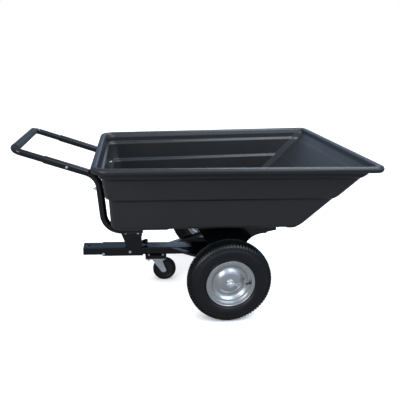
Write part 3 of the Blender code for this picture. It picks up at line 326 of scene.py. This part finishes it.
finishes = {
    "tub_plastic": tub_plastic(),
    "frame_paint": frame_paint(),
    "zinc": zinc(),
    "rim_paint": rim_paint(),
    "tyre_rubber": tyre_rubber(),
    "castor_rubber": castor_rubber(),
    "core_plastic": core_plastic(),
    "foam": foam(),
    "knob_plastic": knob_plastic(),
    "valve_rubber": valve_rubber(),
}


# Drawing helpers. A corner is rounded on at most side_share of each side beside it.
nearly_straight, side_share = 1.55, 0.48


def placed(bm, name, body, finish, stands_for, sharp=35):
    """Turns a mesh drawn in the axle's frame into a piece that rides on a body."""
    bmesh.ops.recalc_face_normals(bm, faces=bm.faces)
    bmesh.ops.translate(bm, verts=bm.verts, vec=(shift_x, 0, 0))
    mesh = bpy.data.meshes.new(name)
    bm.to_mesh(mesh)
    bm.free()
    mesh.shade_smooth()
    mesh.set_sharp_from_angle(angle=math.radians(sharp))
    mesh.materials.append(finishes[finish])
    piece = bpy.data.objects.new(name, mesh)
    bpy.context.scene.collection.objects.link(piece)
    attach(piece, body)
    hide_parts(*stands_for)
    return piece


def loft(bm, rings, joined=False):
    """Bridges rings of equal length. A joined loft closes on its first ring, the other has end caps."""
    rows = [[bm.verts.new(point) for point in ring] for ring in rings]
    pairs = list(zip(rows, rows[1:]))
    if joined:
        pairs.append((rows[-1], rows[0]))
    for one, two in pairs:
        for i in range(len(one)):
            j = (i + 1) % len(one)
            bm.faces.new((one[i], one[j], two[j], two[i]))
    if not joined:
        bm.faces.new(rows[0][::-1])
        bm.faces.new(rows[-1])


def circle(centre, along, radius, segments):
    """A ring of points round a level direction."""
    first = Vector((0, 0, 1)).cross(along).normalized()
    second = along.cross(first)
    ring = []
    for i in range(segments):
        turn = 2 * math.pi * i / segments
        ring.append(centre + first * (radius * math.cos(turn)) + second * (radius * math.sin(turn)))
    return ring


def lathe(bm, profile, centre, along, segments):
    """Turns a closed loop of points (radius, distance along the axis) round a level axis."""
    rings = [circle(centre + along * step, along, radius, segments) for radius, step in profile]
    loft(bm, rings, joined=True)


def arc_between(centre, start, end, steps):
    """Points of an arc from one spoke to another."""
    turn = start.angle(end)
    points = []
    for i in range(steps + 1):
        part = i / steps
        spoke = start * math.sin((1 - part) * turn) + end * math.sin(part * turn)
        points.append(centre + spoke / math.sin(turn))
    return points


def turns(start, end, steps):
    """Evenly spaced angles in radians, between two in degrees."""
    return [math.radians(start + (end - start) * i / steps) for i in range(steps + 1)]


def rounded(corners, radii, steps):
    """A closed outline with an arc at each corner."""
    points = []
    for i, corner in enumerate(corners):
        here = Vector(corner)
        before = (Vector(corners[i - 1]) - here).normalized()
        after = (Vector(corners[(i + 1) % len(corners)]) - here).normalized()
        half = before.angle(after) / 2
        reach = radii[i] / math.tan(half)
        centre = here + (before + after).normalized() * (radii[i] / math.sin(half))
        spokes = (here + before * reach - centre, here + after * reach - centre)
        points += arc_between(centre, spokes[0], spokes[1], steps[i])
    return points


def softened(profile, radius, steps, closed=False):
    """Rounds the corners of a 2-D profile, open or closed, as far as the sides beside them allow."""
    count = len(profile)
    points = []
    for i, corner in enumerate(profile):
        here = Vector(corner)
        if not closed and i in (0, count - 1):
            points.append(here)
            continue
        before = Vector(profile[i - 1]) - here
        after = Vector(profile[(i + 1) % count]) - here
        half = before.angle(after) / 2
        if half > nearly_straight:
            points.append(here)
            continue
        reach = min(radius / math.tan(half), side_share * before.length, side_share * after.length)
        before.normalize()
        after.normalize()
        centre = here + (before + after).normalized() * (reach / math.cos(half))
        spokes = (here + before * reach - centre, here + after * reach - centre)
        points += arc_between(centre, spokes[0], spokes[1], steps)
    return [(point.x, point.y) for point in points]


def bent_path(corners, bend, steps):
    """Points and directions along a bent tube's centre line."""
    path = [(corners[0], (corners[1] - corners[0]).normalized())]
    for before, here, after in zip(corners, corners[1:], corners[2:]):
        way_in = (here - before).normalized()
        way_out = (after - here).normalized()
        half = (math.pi - way_in.angle(way_out)) / 2
        reach = bend / math.tan(half)
        centre = here + (way_out - way_in).normalized() * (bend / math.sin(half))
        spokes = (here - way_in * reach - centre, here + way_out * reach - centre)
        points = arc_between(centre, spokes[0], spokes[1], steps)
        ways = arc_between(Vector((0, 0, 0)), way_in, way_out, steps)
        path += list(zip(points, ways))
    path.append((corners[-1], (corners[-1] - corners[-2]).normalized()))
    return path


def swept(path, across, radii, segments):
    """Rings of the given radii round a flat path."""
    rings = []
    for (point, way), radius in zip(path, radii):
        side = way.cross(across)
        ring = []
        for i in range(segments):
            turn = 2 * math.pi * i / segments
            ring.append(point + across * (radius * math.cos(turn)) + side * (radius * math.sin(turn)))
        rings.append(ring)
    return rings


def ended(path, inset):
    """The path with one more point close to each end, for a rounded rim."""
    first, last = path[0], path[-1]
    near_first = (first[0] + first[1] * inset, first[1])
    near_last = (last[0] - last[1] * inset, last[1])
    return [first, near_first] + path[1:-1] + [near_last, last]


# Tub.
def smooth(part):
    """Eases from 0 to 1."""
    part = min(1, max(0, part))
    return part * part * (3 - 2 * part)


def wall_inset(depth):
    """The side and front walls lean inward, with a ledge at each step."""
    inset = flange_width + tub_draft * depth
    for start in step_depths:
        inset += step_in * smooth((depth - start) / step_height)
    return inset


def spout_inset(depth):
    """The rear wall is the spout's slope, with two faint ledges."""
    inset = flange_width + spout_slope * max(0, depth - spout_start)
    for start in step_depths:
        inset += spout_step * smooth((depth - start) / step_height)
    return inset


def rim_height(x):
    return axle_z + rim_above_axle + rim_pitch * x


def floor_height(x):
    return rim_height(x) - tub_depth


def half_width(x):
    part = (x - rim_front_x) / (rim_rear_x - rim_front_x)
    return rim_front_half + (rim_rear_half - rim_front_half) * part


def rim_corner(inset):
    """Cut and rounding at the rim's rear corners. They make one plain arc, but for a hair in its middle."""
    radius = max(rim_rear_corner - inset, rim_inner_corner)
    return (2 - math.sqrt(2)) * radius, nearly_whole * radius


def front_edge(inset, depth):
    """The front end of a ring. Above the lower step the front wall swells forward."""
    narrowed = (flange_width - front_flange_width) * min(1, inset / flange_width)
    above_step = 1 - smooth((depth - step_depths[1]) / step_height + 1)
    return rim_front_x + inset - narrowed - front_swell * smooth(inset / flange_width) * above_step


def tub_ring(inset, rear_inset, depth, rear_corner, recess=0):
    """One ring round the tub. Its sides have two extra stations at each end of the side rail's recess."""
    front = front_edge(inset, depth)
    rear = rim_rear_x - rear_inset
    cut_off, cut_round = rear_corner
    side = half_width(rear - cut_off) - inset
    end = half_width(rear) - inset - cut_off
    corners = [(front, inset - half_width(front)), (rear - cut_off, -side), (rear, -end)]
    corners += [(x, -y) for x, y in corners[::-1]]
    front_corner = max(rim_front_corner - inset, wall_front_corner)
    radii = (front_corner, cut_round, cut_round, cut_round, cut_round, front_corner)
    outline = rounded(corners, radii, (front_corner_steps, *(rear_corner_steps,) * 4, front_corner_steps))
    recess_end = min(recess_rear_x, rear - cut_off - 0.5 * cut_round - recess_taper)
    stations = [(recess_front_x - recess_taper, 0), (recess_front_x, recess)]
    stations += [(recess_end, recess), (recess_end + recess_taper, 0)]
    corner_points = front_corner_steps + 1
    ring = [(point.x, point.y, 0) for point in outline[:corner_points]]
    ring += [(x, inset - half_width(x), lift) for x, lift in stations]
    ring += [(point.x, point.y, 0) for point in outline[corner_points:-corner_points]]
    ring += [(x, half_width(x) - inset, lift) for x, lift in stations[::-1]]
    ring += [(point.x, point.y, 0) for point in outline[-corner_points:]]
    return [Vector((x, y, rim_height(x) - depth + lift)) for x, y, lift in ring]


def tub_skin(sheet):
    """Rings from the floor's face up to the rim: the outer skin, or the inner one a sheet further in."""
    foot = tub_depth - floor_round
    corner = (corner_cut, corner_cut_round)
    floor_inset = wall_inset(foot) + floor_round + floor_face_inset + sheet
    floor_rear = spout_inset(tub_depth) + floor_face_rear + sheet
    rings = [tub_ring(floor_inset, floor_rear, tub_depth - sheet, corner)]
    for i in range(floor_steps + 1):
        up = math.radians(90 - 90 * i / floor_steps)
        depth = foot + floor_round * math.sin(up)
        rounding = floor_round * (1 - math.cos(up))
        rear = spout_inset(depth) + spout_floor_share * rounding + sheet
        inset = wall_inset(foot) + rounding + sheet
        rings.append(tub_ring(inset, rear, depth - sheet, corner, recess_rise * math.sin(up)))
    depths = []
    for start in step_depths[::-1]:
        depths.append(start + step_height + ledge_margin)
        depths += [start + step_height * (1 - i / ledge_steps) for i in range(ledge_steps + 1)]
        depths.append(start - ledge_margin)
    depths += [spout_start + below for below in spout_crease]
    for depth in depths:
        rings.append(tub_ring(wall_inset(depth) + sheet, spout_inset(depth) + sheet, depth - sheet, corner))
    return rings


def on_roll(radius, turn):
    """A point of the rim's roll. Above its middle it is stretched, so that the rim is crowned."""
    across = rim_roll + (rim_crest - rim_roll) * max(0, math.sin(turn))
    depth = rim_roll - rim_rise - radius * math.sin(turn)
    return across - (radius + across - rim_roll) * math.cos(turn), depth


def rim_section():
    """Points (inset, depth) from under the flange over the rolled rim to the top of the inside wall."""
    foot = math.radians(lip_foot_degrees)
    under_flange = [(flange_width, 2.8 * tub_sheet), (flange_width - 0.0035, 1.55 * tub_sheet)]
    under_flange.append(on_roll(rim_roll - tub_sheet, math.radians(90)))
    section = softened(under_flange, flange_corner, 3)[:-1]
    section += [on_roll(rim_roll - tub_sheet, turn) for turn in turns(90, lip_foot_degrees, 7)]
    middle = Vector(on_roll(rim_roll - tub_sheet / 2, foot))
    outward = Vector((-math.cos(foot), -math.sin(foot)))
    along = Vector((-math.sin(foot), math.cos(foot)))
    for turn in turns(0, 180, 4)[1:-1]:
        section.append(middle - (outward * math.cos(turn) - along * math.sin(turn)) * (tub_sheet / 2))
    section += [on_roll(rim_roll, turn) for turn in turns(lip_foot_degrees, 90, 14)]
    shoulder = [(-0.0100, -0.0012), (-0.0050, 0.0008), (-0.0016, 0.0040)]
    shoulder += [(0.0002, 0.0085), (0.0012, 0.0140)]
    section += [(flange_width + further, depth) for further, depth in shoulder]
    return section


def rim_rings():
    return [tub_ring(inset, inset, depth, rim_corner(inset)) for inset, depth in rim_section()]


def make_tub():
    bm = bmesh.new()
    loft(bm, tub_skin(0) + rim_rings() + tub_skin(tub_sheet)[::-1])
    placed(bm, "tub_shell", "tipping_tub", "tub_plastic", ("tub",), 40)


# Tipping frame and handle.
def tube_height(x):
    """The level of the tubes' centre line, a hair under the cross members that carry the floor."""
    return floor_height(x) - cross_member_height - 2 * fit_gap - tube_radius * hair_wider


def make_tube(name, body, replaced, path, across, radii, segments):
    """A bent tube that is open at both ends, with its edges there eased."""
    radius, bore, ease, inner_ease = radii
    between = len(path) - 2
    outer = [radius - ease] + [radius] * between + [radius - ease]
    inner = [bore + inner_ease] + [bore] * between + [bore + inner_ease]
    bm = bmesh.new()
    rings = swept(path, across, outer, segments) + swept(path, across, inner, segments)[::-1]
    loft(bm, rings, joined=True)
    placed(bm, name, body, "frame_paint", (replaced,))


def make_frame_tube(side, sign):
    top = socket_point - arm_out * arm_length
    foot_x = top.x + (top.z - tube_height(tube_foot_x)) * math.tan(run_lean)
    corners = [socket_point.copy(), top, Vector((foot_x, 0, tube_height(foot_x)))]
    corners.append(Vector((tube_end_x, 0, tube_height(tube_end_x))))
    for corner in corners:
        corner.y = sign * arm_offset
    path = ended(bent_path(corners, tube_bend, 14), tube_end_ease)
    radii = (tube_radius, tube_radius - tube_sheet, tube_end_ease, tube_bore_ease)
    across = Vector((0, 1, 0))
    make_tube("frame_tube_" + side, "tipping_tub", "side_tube_" + side, path, across, radii, 32)


def make_handle():
    inner_end = socket_point - arm_out * handle_inserted
    corners = [inner_end, grip_centre.copy(), grip_centre.copy(), inner_end.copy()]
    for corner, sign in zip(corners, (-1, -1, 1, 1)):
        corner.y = sign * arm_offset
    across = arm_out.cross(Vector((0, 1, 0)))
    path = ended(bent_path(corners, handle_bend, 12), handle_end_ease)
    radii = (handle_radius, handle_radius - handle_sheet, handle_end_ease, 0)
    make_tube("handle_bar", "handle", "handle_tube", path, across, radii, 28)
    make_grip(across)


def make_grip(across):
    """The foam sleeve on the cross bar: round ends, and pressed a little where the hands hold it."""
    level = Vector((0, 1, 0))
    half = arm_offset - handle_bend - 2 * fit_gap
    end_steps = (0.0, 0.0008, 0.0018, 0.0032)
    end_drops = (0.0026, 0.0013, 0.0006, 0.0002)
    half_steps = 24
    reaches = [step - half for step in end_steps]
    reaches += [half * (i / half_steps - 1) for i in range(1, 2 * half_steps)]
    reaches += [half - step for step in end_steps[::-1]]
    path = [(grip_centre + level * reach, level) for reach in reaches]
    radii = []
    for i, reach in enumerate(reaches):
        end = min(i, len(path) - 1 - i)
        drop = end_drops[end] if end < len(end_drops) else 0
        press = math.exp(-((abs(reach) - hand_place) / hand_spread) ** 2)
        wave = grip_wave * math.sin(reach * grip_wave_rate)
        radii.append(grip_radius - drop - hand_press * press - wave)
    bore = [handle_radius + fit_gap] * len(path)
    bm = bmesh.new()
    loft(bm, swept(path, across, radii, 36) + swept(path, across, bore, 36)[::-1], joined=True)
    grip = placed(bm, "grip_sleeve", "handle", "foam", ("foam_grip",), 60)


# Wheels.
def block_stands(place, phase):
    """1 on the tread's rib and blocks, 0 in its grooves. The phase runs from 0 to 1 with each block."""
    if place < centre_rib:
        return 1
    if place < rib_teeth:
        return 1 if phase % 0.5 < 0.25 else 0
    if place < block_row[0]:
        return 0
    if place < block_row[1]:
        return 1 if (phase + 0.25) % 1 < row_block_share else 0
    if place < shoulder_row:
        return 0
    return 1 if phase < shoulder_block_share else 0


def tyre_section():
    """Points (radius, distance from the middle): the outside from bead to bead, then the inside back."""
    half_tread = [(0.1955, 0.0), (0.1955, 0.0055), (0.1955, 0.0062), (0.1954, 0.0082), (0.1953, 0.0088)]
    half_tread += [(0.1948, 0.0122), (0.1947, 0.0128), (0.1939, 0.0185), (0.1930, 0.0242), (0.1928, 0.0248)]
    half_tread += [(0.1922, 0.0268), (0.1920, 0.0274), (0.1900, 0.0322), (0.1866, 0.0364), (0.1815, 0.0402)]
    half_tread.append((0.1762, 0.0427))
    side_wall = [(0.1738, 0.0434), (0.1720, 0.0438), (0.1710, 0.0451), (0.1697, 0.0455), (0.1683, 0.0451)]
    side_wall += [(0.1664, 0.0460), (0.1625, 0.0474), (0.1570, 0.0486), (0.1505, 0.0491), (0.1445, 0.0488)]
    side_wall += [(0.1385, 0.0478), (0.1335, 0.0463), (0.1292, 0.0445), (0.1279, 0.0448), (0.1266, 0.0444)]
    side_wall += [(0.1252, 0.0426), (0.1222, 0.0408), (0.1187, 0.0394), (0.1157, 0.0386), (0.1120, 0.0385)]
    side_wall.append((0.1019, 0.0385))
    inside = [(0.1060, 0.0280), (0.1300, 0.0360), (0.1500, 0.0405), (0.1700, 0.0385), (0.1820, 0.0280)]
    inside.append((0.1850, 0.0))
    outer = [(radius, -y) for radius, y in side_wall[::-1]]
    outer += [(radius, -y) for radius, y in half_tread[:0:-1]] + half_tread + side_wall
    inner = inside + [(radius, -y) for radius, y in inside[-2::-1]]
    tread_places = range(len(side_wall) + 1, len(side_wall) + 2 * len(half_tread) - 2)
    return outer, inner, tread_places


def raised(before, here, after, phase):
    """A point of the tread, lifted where a block stands. The tyre's two sides are half a pitch apart."""
    radius, y = here
    along = (Vector(after) - Vector(before)).normalized()
    shown = phase if y >= 0 else (phase + 0.5) % 1
    lift = tread_height * block_stands(abs(y), shown)
    return radius + lift * along.y, y - lift * along.x


def make_tyre(side, sign):
    """The section turned round the axle, with the tread's blocks raised on it."""
    centre = Vector((0, sign * wheel_offset, axle_z))
    outer, inner, tread_places = tyre_section()
    rings = []
    for block in range(tread_blocks):
        for phase in pitch_samples:
            turn = 2 * math.pi * (block + phase) / tread_blocks
            spoke = Vector((math.cos(turn), 0, math.sin(turn)))
            section = list(outer)
            for i in tread_places:
                section[i] = raised(outer[i - 1], outer[i], outer[i + 1], phase)
            rings.append([centre + spoke * radius + Vector((0, y, 0)) for radius, y in section + inner])
    bm = bmesh.new()
    loft(bm, rings, joined=True)
    placed(bm, "tyre_carcass_" + side, "wheel_" + side, "tyre_rubber", ("tyre_" + side,), 30)


def make_rim(side, sign):
    """Pressed disc wheel: rolled flanges, drop centre, stepped and domed disc, welded hub."""
    centre = Vector((0, sign * wheel_offset, axle_z))
    outboard = Vector((0, sign, 0))
    sheet = 0.0025
    lip, bead, well = 0.1145, 0.1016, 0.0900
    seat, edge = 0.0388, 0.0262
    bore, hub, half = 0.0155, 0.0185, hub_length / 2
    tyre_side = [(lip, seat), (bead, seat), (bead, 0.0250), (well, 0.0170)]
    tyre_side += [(radius, -y) for radius, y in tyre_side[::-1]]
    flange = [(lip - 1.2 * sheet, seat + sheet), (lip - sheet, seat + 2 * sheet), (lip, seat + 2 * sheet)]
    inboard = [(radius, -y) for radius, y in flange[::-1]]
    inboard += [(bead - sheet, -seat - sheet), (bead - sheet, -edge), (well - sheet, -0.0182)]
    back = [(well - sheet, 0.0196), (0.0800, 0.0120), (0.0720, 0.0092), (0.0610, 0.0150), (0.0480, 0.0222)]
    back += [(hub, 0.0268), (hub, -half), (bore, -half)]
    front = [(bore, half), (hub, half), (hub, 0.0308), (0.0225, 0.0304), (0.0300, 0.0298), (0.0380, 0.0286)]
    front += [(0.0450, 0.0268), (0.0510, 0.0244), (0.0570, 0.0210), (0.0625, 0.0172), (0.0675, 0.0142)]
    front += [(0.0720, 0.0130), (0.0765, 0.0138), (0.0810, 0.0168), (0.0850, 0.0212), (0.0888, edge)]
    front += [(bead - sheet, edge), (bead - sheet, seat + sheet)]
    profile = tyre_side + inboard + back + front + flange
    bm = bmesh.new()
    lathe(bm, softened(profile, 0.0016, 3, True), centre, outboard, 96)
    placed(bm, "rim_disc_" + side, "wheel_" + side, "rim_paint", ("wheel_rim_" + side,), 40)


# Castor.
def make_castor_tread():
    width = castor_half_width
    profile = [(castor_bore, -width + 0.001), (0.0560, -width), (castor_radius - 0.0015, -width + 0.003)]
    profile += [(castor_radius, -0.5 * width), (castor_radius, 0.5 * width)]
    profile += [(castor_radius - 0.0015, width - 0.003), (0.0560, width), (castor_bore, width - 0.001)]
    bm = bmesh.new()
    lathe(bm, softened(profile, 0.004, 5, True), castor_centre, Vector((0, 1, 0)), 72)
    placed(bm, "castor_tread", "castor_wheel", "castor_rubber", ("castor_tyre",))


def make_castor_hub():
    """The core: a boss round the bolt, a thin web and a ring under the tread."""
    ring = castor_half_width - 0.002
    boss = castor_half_width + 0.0035
    half = [(0.0053, boss), (0.0125, boss), (0.0135, 0.0070), (0.0370, 0.0055), (0.0385, ring)]
    half.append((castor_bore - fit_gap, ring))
    profile = half + [(radius, -y) for radius, y in half[::-1]]
    bm = bmesh.new()
    lathe(bm, softened(profile, 0.0012, 3, True), castor_centre, Vector((0, 1, 0)), 64)
    placed(bm, "castor_hub", "castor_wheel", "core_plastic", ("castor_core",))


# Finishes and softened edges on the carried-over solids.
def dress_nodes():
    slots = {piece["node"]: piece["material_slot"] for piece in frame["record"]["subparts"]}
    for name, node in frame["nodes"].items():
        finish = finishes[slots[name]]
        node.data.materials.clear()
        node.data.materials.append(finish)
        for face in node.data.polygons:
            face.material_index = 0
        if node.hide_render:
            continue
        weld = node.modifiers.new("weld", "WELD")
        weld.merge_threshold = weld_reach
        bevel = node.modifiers.new("edges", "BEVEL")
        bevel.width = drawbar_edge_width if name == "drawbar" else edge_width
        bevel.segments = 2
        bevel.limit_method = "ANGLE"
        bevel.angle_limit = math.radians(40)
        bevel.harden_normals = True


# Studio.
def shown_part(nodes, path, glossy_part):
    """1 for what the camera sees, and a smaller part for what glossy surfaces mirror."""
    mirrored = nodes.combine("MULTIPLY", path.outputs["Is Glossy Ray"], glossy_part)
    return nodes.combine("ADD", mirrored, path.outputs["Is Camera Ray"])


def make_floor():
    """Pale paper that the camera sees as nearly white, with the shade of what stands on it."""
    mesh = bpy.data.meshes.new("studio_floor")
    reach = 40
    corners = [(-reach, -reach, 0), (reach, -reach, 0), (reach, reach, 0), (-reach, reach, 0)]
    mesh.from_pydata(corners, [], [(0, 1, 2, 3)])
    floor = bpy.data.objects.new("studio_floor", mesh)
    bpy.context.scene.collection.objects.link(floor)
    paper = Paint("studio_floor_paper")
    path = paper.add("ShaderNodeLightPath")
    colour = paper.mix(path.outputs["Is Camera Ray"], (0.19, 0.19, 0.19), (1.0, 0.985, 0.96))
    open_sky = paper.add("ShaderNodeAmbientOcclusion")
    open_sky.samples = 16
    open_sky.inputs["Distance"].default_value = 0.07
    glow = paper.combine("MULTIPLY", shown_part(paper, path, mirrored_paper), paper_glow)
    glow = paper.combine("MULTIPLY", glow, open_sky.outputs["AO"])
    paper.shader.inputs["Emission Color"].default_value = (1.0, 0.965, 0.93, 1)
    paper.link(glow, paper.shader.inputs["Emission Strength"])
    mesh.materials.append(paper.finish(colour, 0.9, 0.0, 0.1))


def make_world():
    """A plain sky: dim below, blue above, dark behind the far side, and white to the camera."""
    world = bpy.data.worlds.new("studio")
    bpy.context.scene.world = world
    world.use_nodes = True
    sky = Nodes(world.node_tree)
    split = sky.add("ShaderNodeSeparateXYZ")
    sky.link(sky.add("ShaderNodeTexCoord").outputs["Generated"], split.inputs["Vector"])
    ramp = sky.add("ShaderNodeValToRGB")
    low, high = ramp.color_ramp.elements
    low.position = 0.0
    low.color = (0.10, 0.11, 0.12, 1)
    high.position = 0.70
    high.color = (0.62, 0.78, 0.98, 1)
    haze = ramp.color_ramp.elements.new(0.10)
    haze.color = (0.42, 0.53, 0.70, 1)
    sky.link(split.outputs["Z"], ramp.inputs["Fac"])
    behind = sky.spread(split.outputs["Y"], -0.2, 0.7, 0.0, 0.85)
    colour = sky.mix(behind, ramp.outputs["Color"], (0.05, 0.14, 0.30))
    path = sky.add("ShaderNodeLightPath")
    seen = sky.combine("ADD", shown_part(sky, path, mirrored_sky), path.outputs["Is Transmission Ray"])
    background = world.node_tree.nodes["Background"]
    sky.link(sky.mix(seen, colour, (1, 1, 1)), background.inputs["Color"])
    background.inputs["Strength"].default_value = 1.0


def make_lamp(name, place, target, size, power, colour):
    lamp = bpy.data.lights.new(name, "AREA")
    lamp.shape = "RECTANGLE"
    lamp.size, lamp.size_y = size
    lamp.energy = power
    lamp.color = colour
    holder = bpy.data.objects.new(name, lamp)
    bpy.context.scene.collection.objects.link(holder)
    holder.location = place
    holder.rotation_euler = (Vector(target) - Vector(place)).to_track_quat("-Z", "Y").to_euler()


def make_camera():
    """Yaw turns the camera to the right of +Y, pitch looks down and roll tilts the picture."""
    level_way = Vector((math.sin(camera_yaw), math.cos(camera_yaw), 0))
    forward = level_way * math.cos(camera_pitch) - Vector((0, 0, math.sin(camera_pitch)))
    level = Vector((math.cos(camera_yaw), -math.sin(camera_yaw), 0))
    upward = level.cross(forward)
    across = level * math.cos(camera_roll) + upward * math.sin(camera_roll)
    above = upward * math.cos(camera_roll) - level * math.sin(camera_roll)
    data = bpy.data.cameras.new("photo_camera")
    data.sensor_fit = "HORIZONTAL"
    data.sensor_width = sensor_width_mm
    data.lens = focal_length_px / photo_width_px * sensor_width_mm
    camera = bpy.data.objects.new("photo_camera", data)
    bpy.context.scene.collection.objects.link(camera)
    turn = Matrix((across, above, -forward)).transposed().to_4x4()
    camera.matrix_world = Matrix.Translation((shift_x + camera_x, camera_y, camera_z)) @ turn
    bpy.context.scene.camera = camera


make_tub()
make_handle()
for side, sign in left_and_right:
    make_frame_tube(side, sign)
    make_tyre(side, sign)
    make_rim(side, sign)
make_castor_tread()
make_castor_hub()
dress_nodes()
make_floor()
make_world()
make_lamp("overhead", (1.1, 0.65, 3.0), (0, 0.1, 0.4), (3.0, 1.2), 68, (0.86, 0.93, 1.0))
make_lamp("back_strip", (1.9, 4.4, 1.8), (0, 0, 0.4), (3.6, 1.0), 12, (0.62, 0.80, 1.0))
make_lamp("side_box", (1.35, -2.0, 2.9), (0, 0, 0.4), (3.0, 2.2), 53, (0.80, 0.90, 1.0))
make_lamp("front_fill", (-2.2, -2.6, 1.7), (-0.4, 0, 0.5), (1.8, 1.4), 44, (1.0, 0.98, 0.95))
make_camera()
bpy.context.scene.view_settings.view_transform = "Standard"
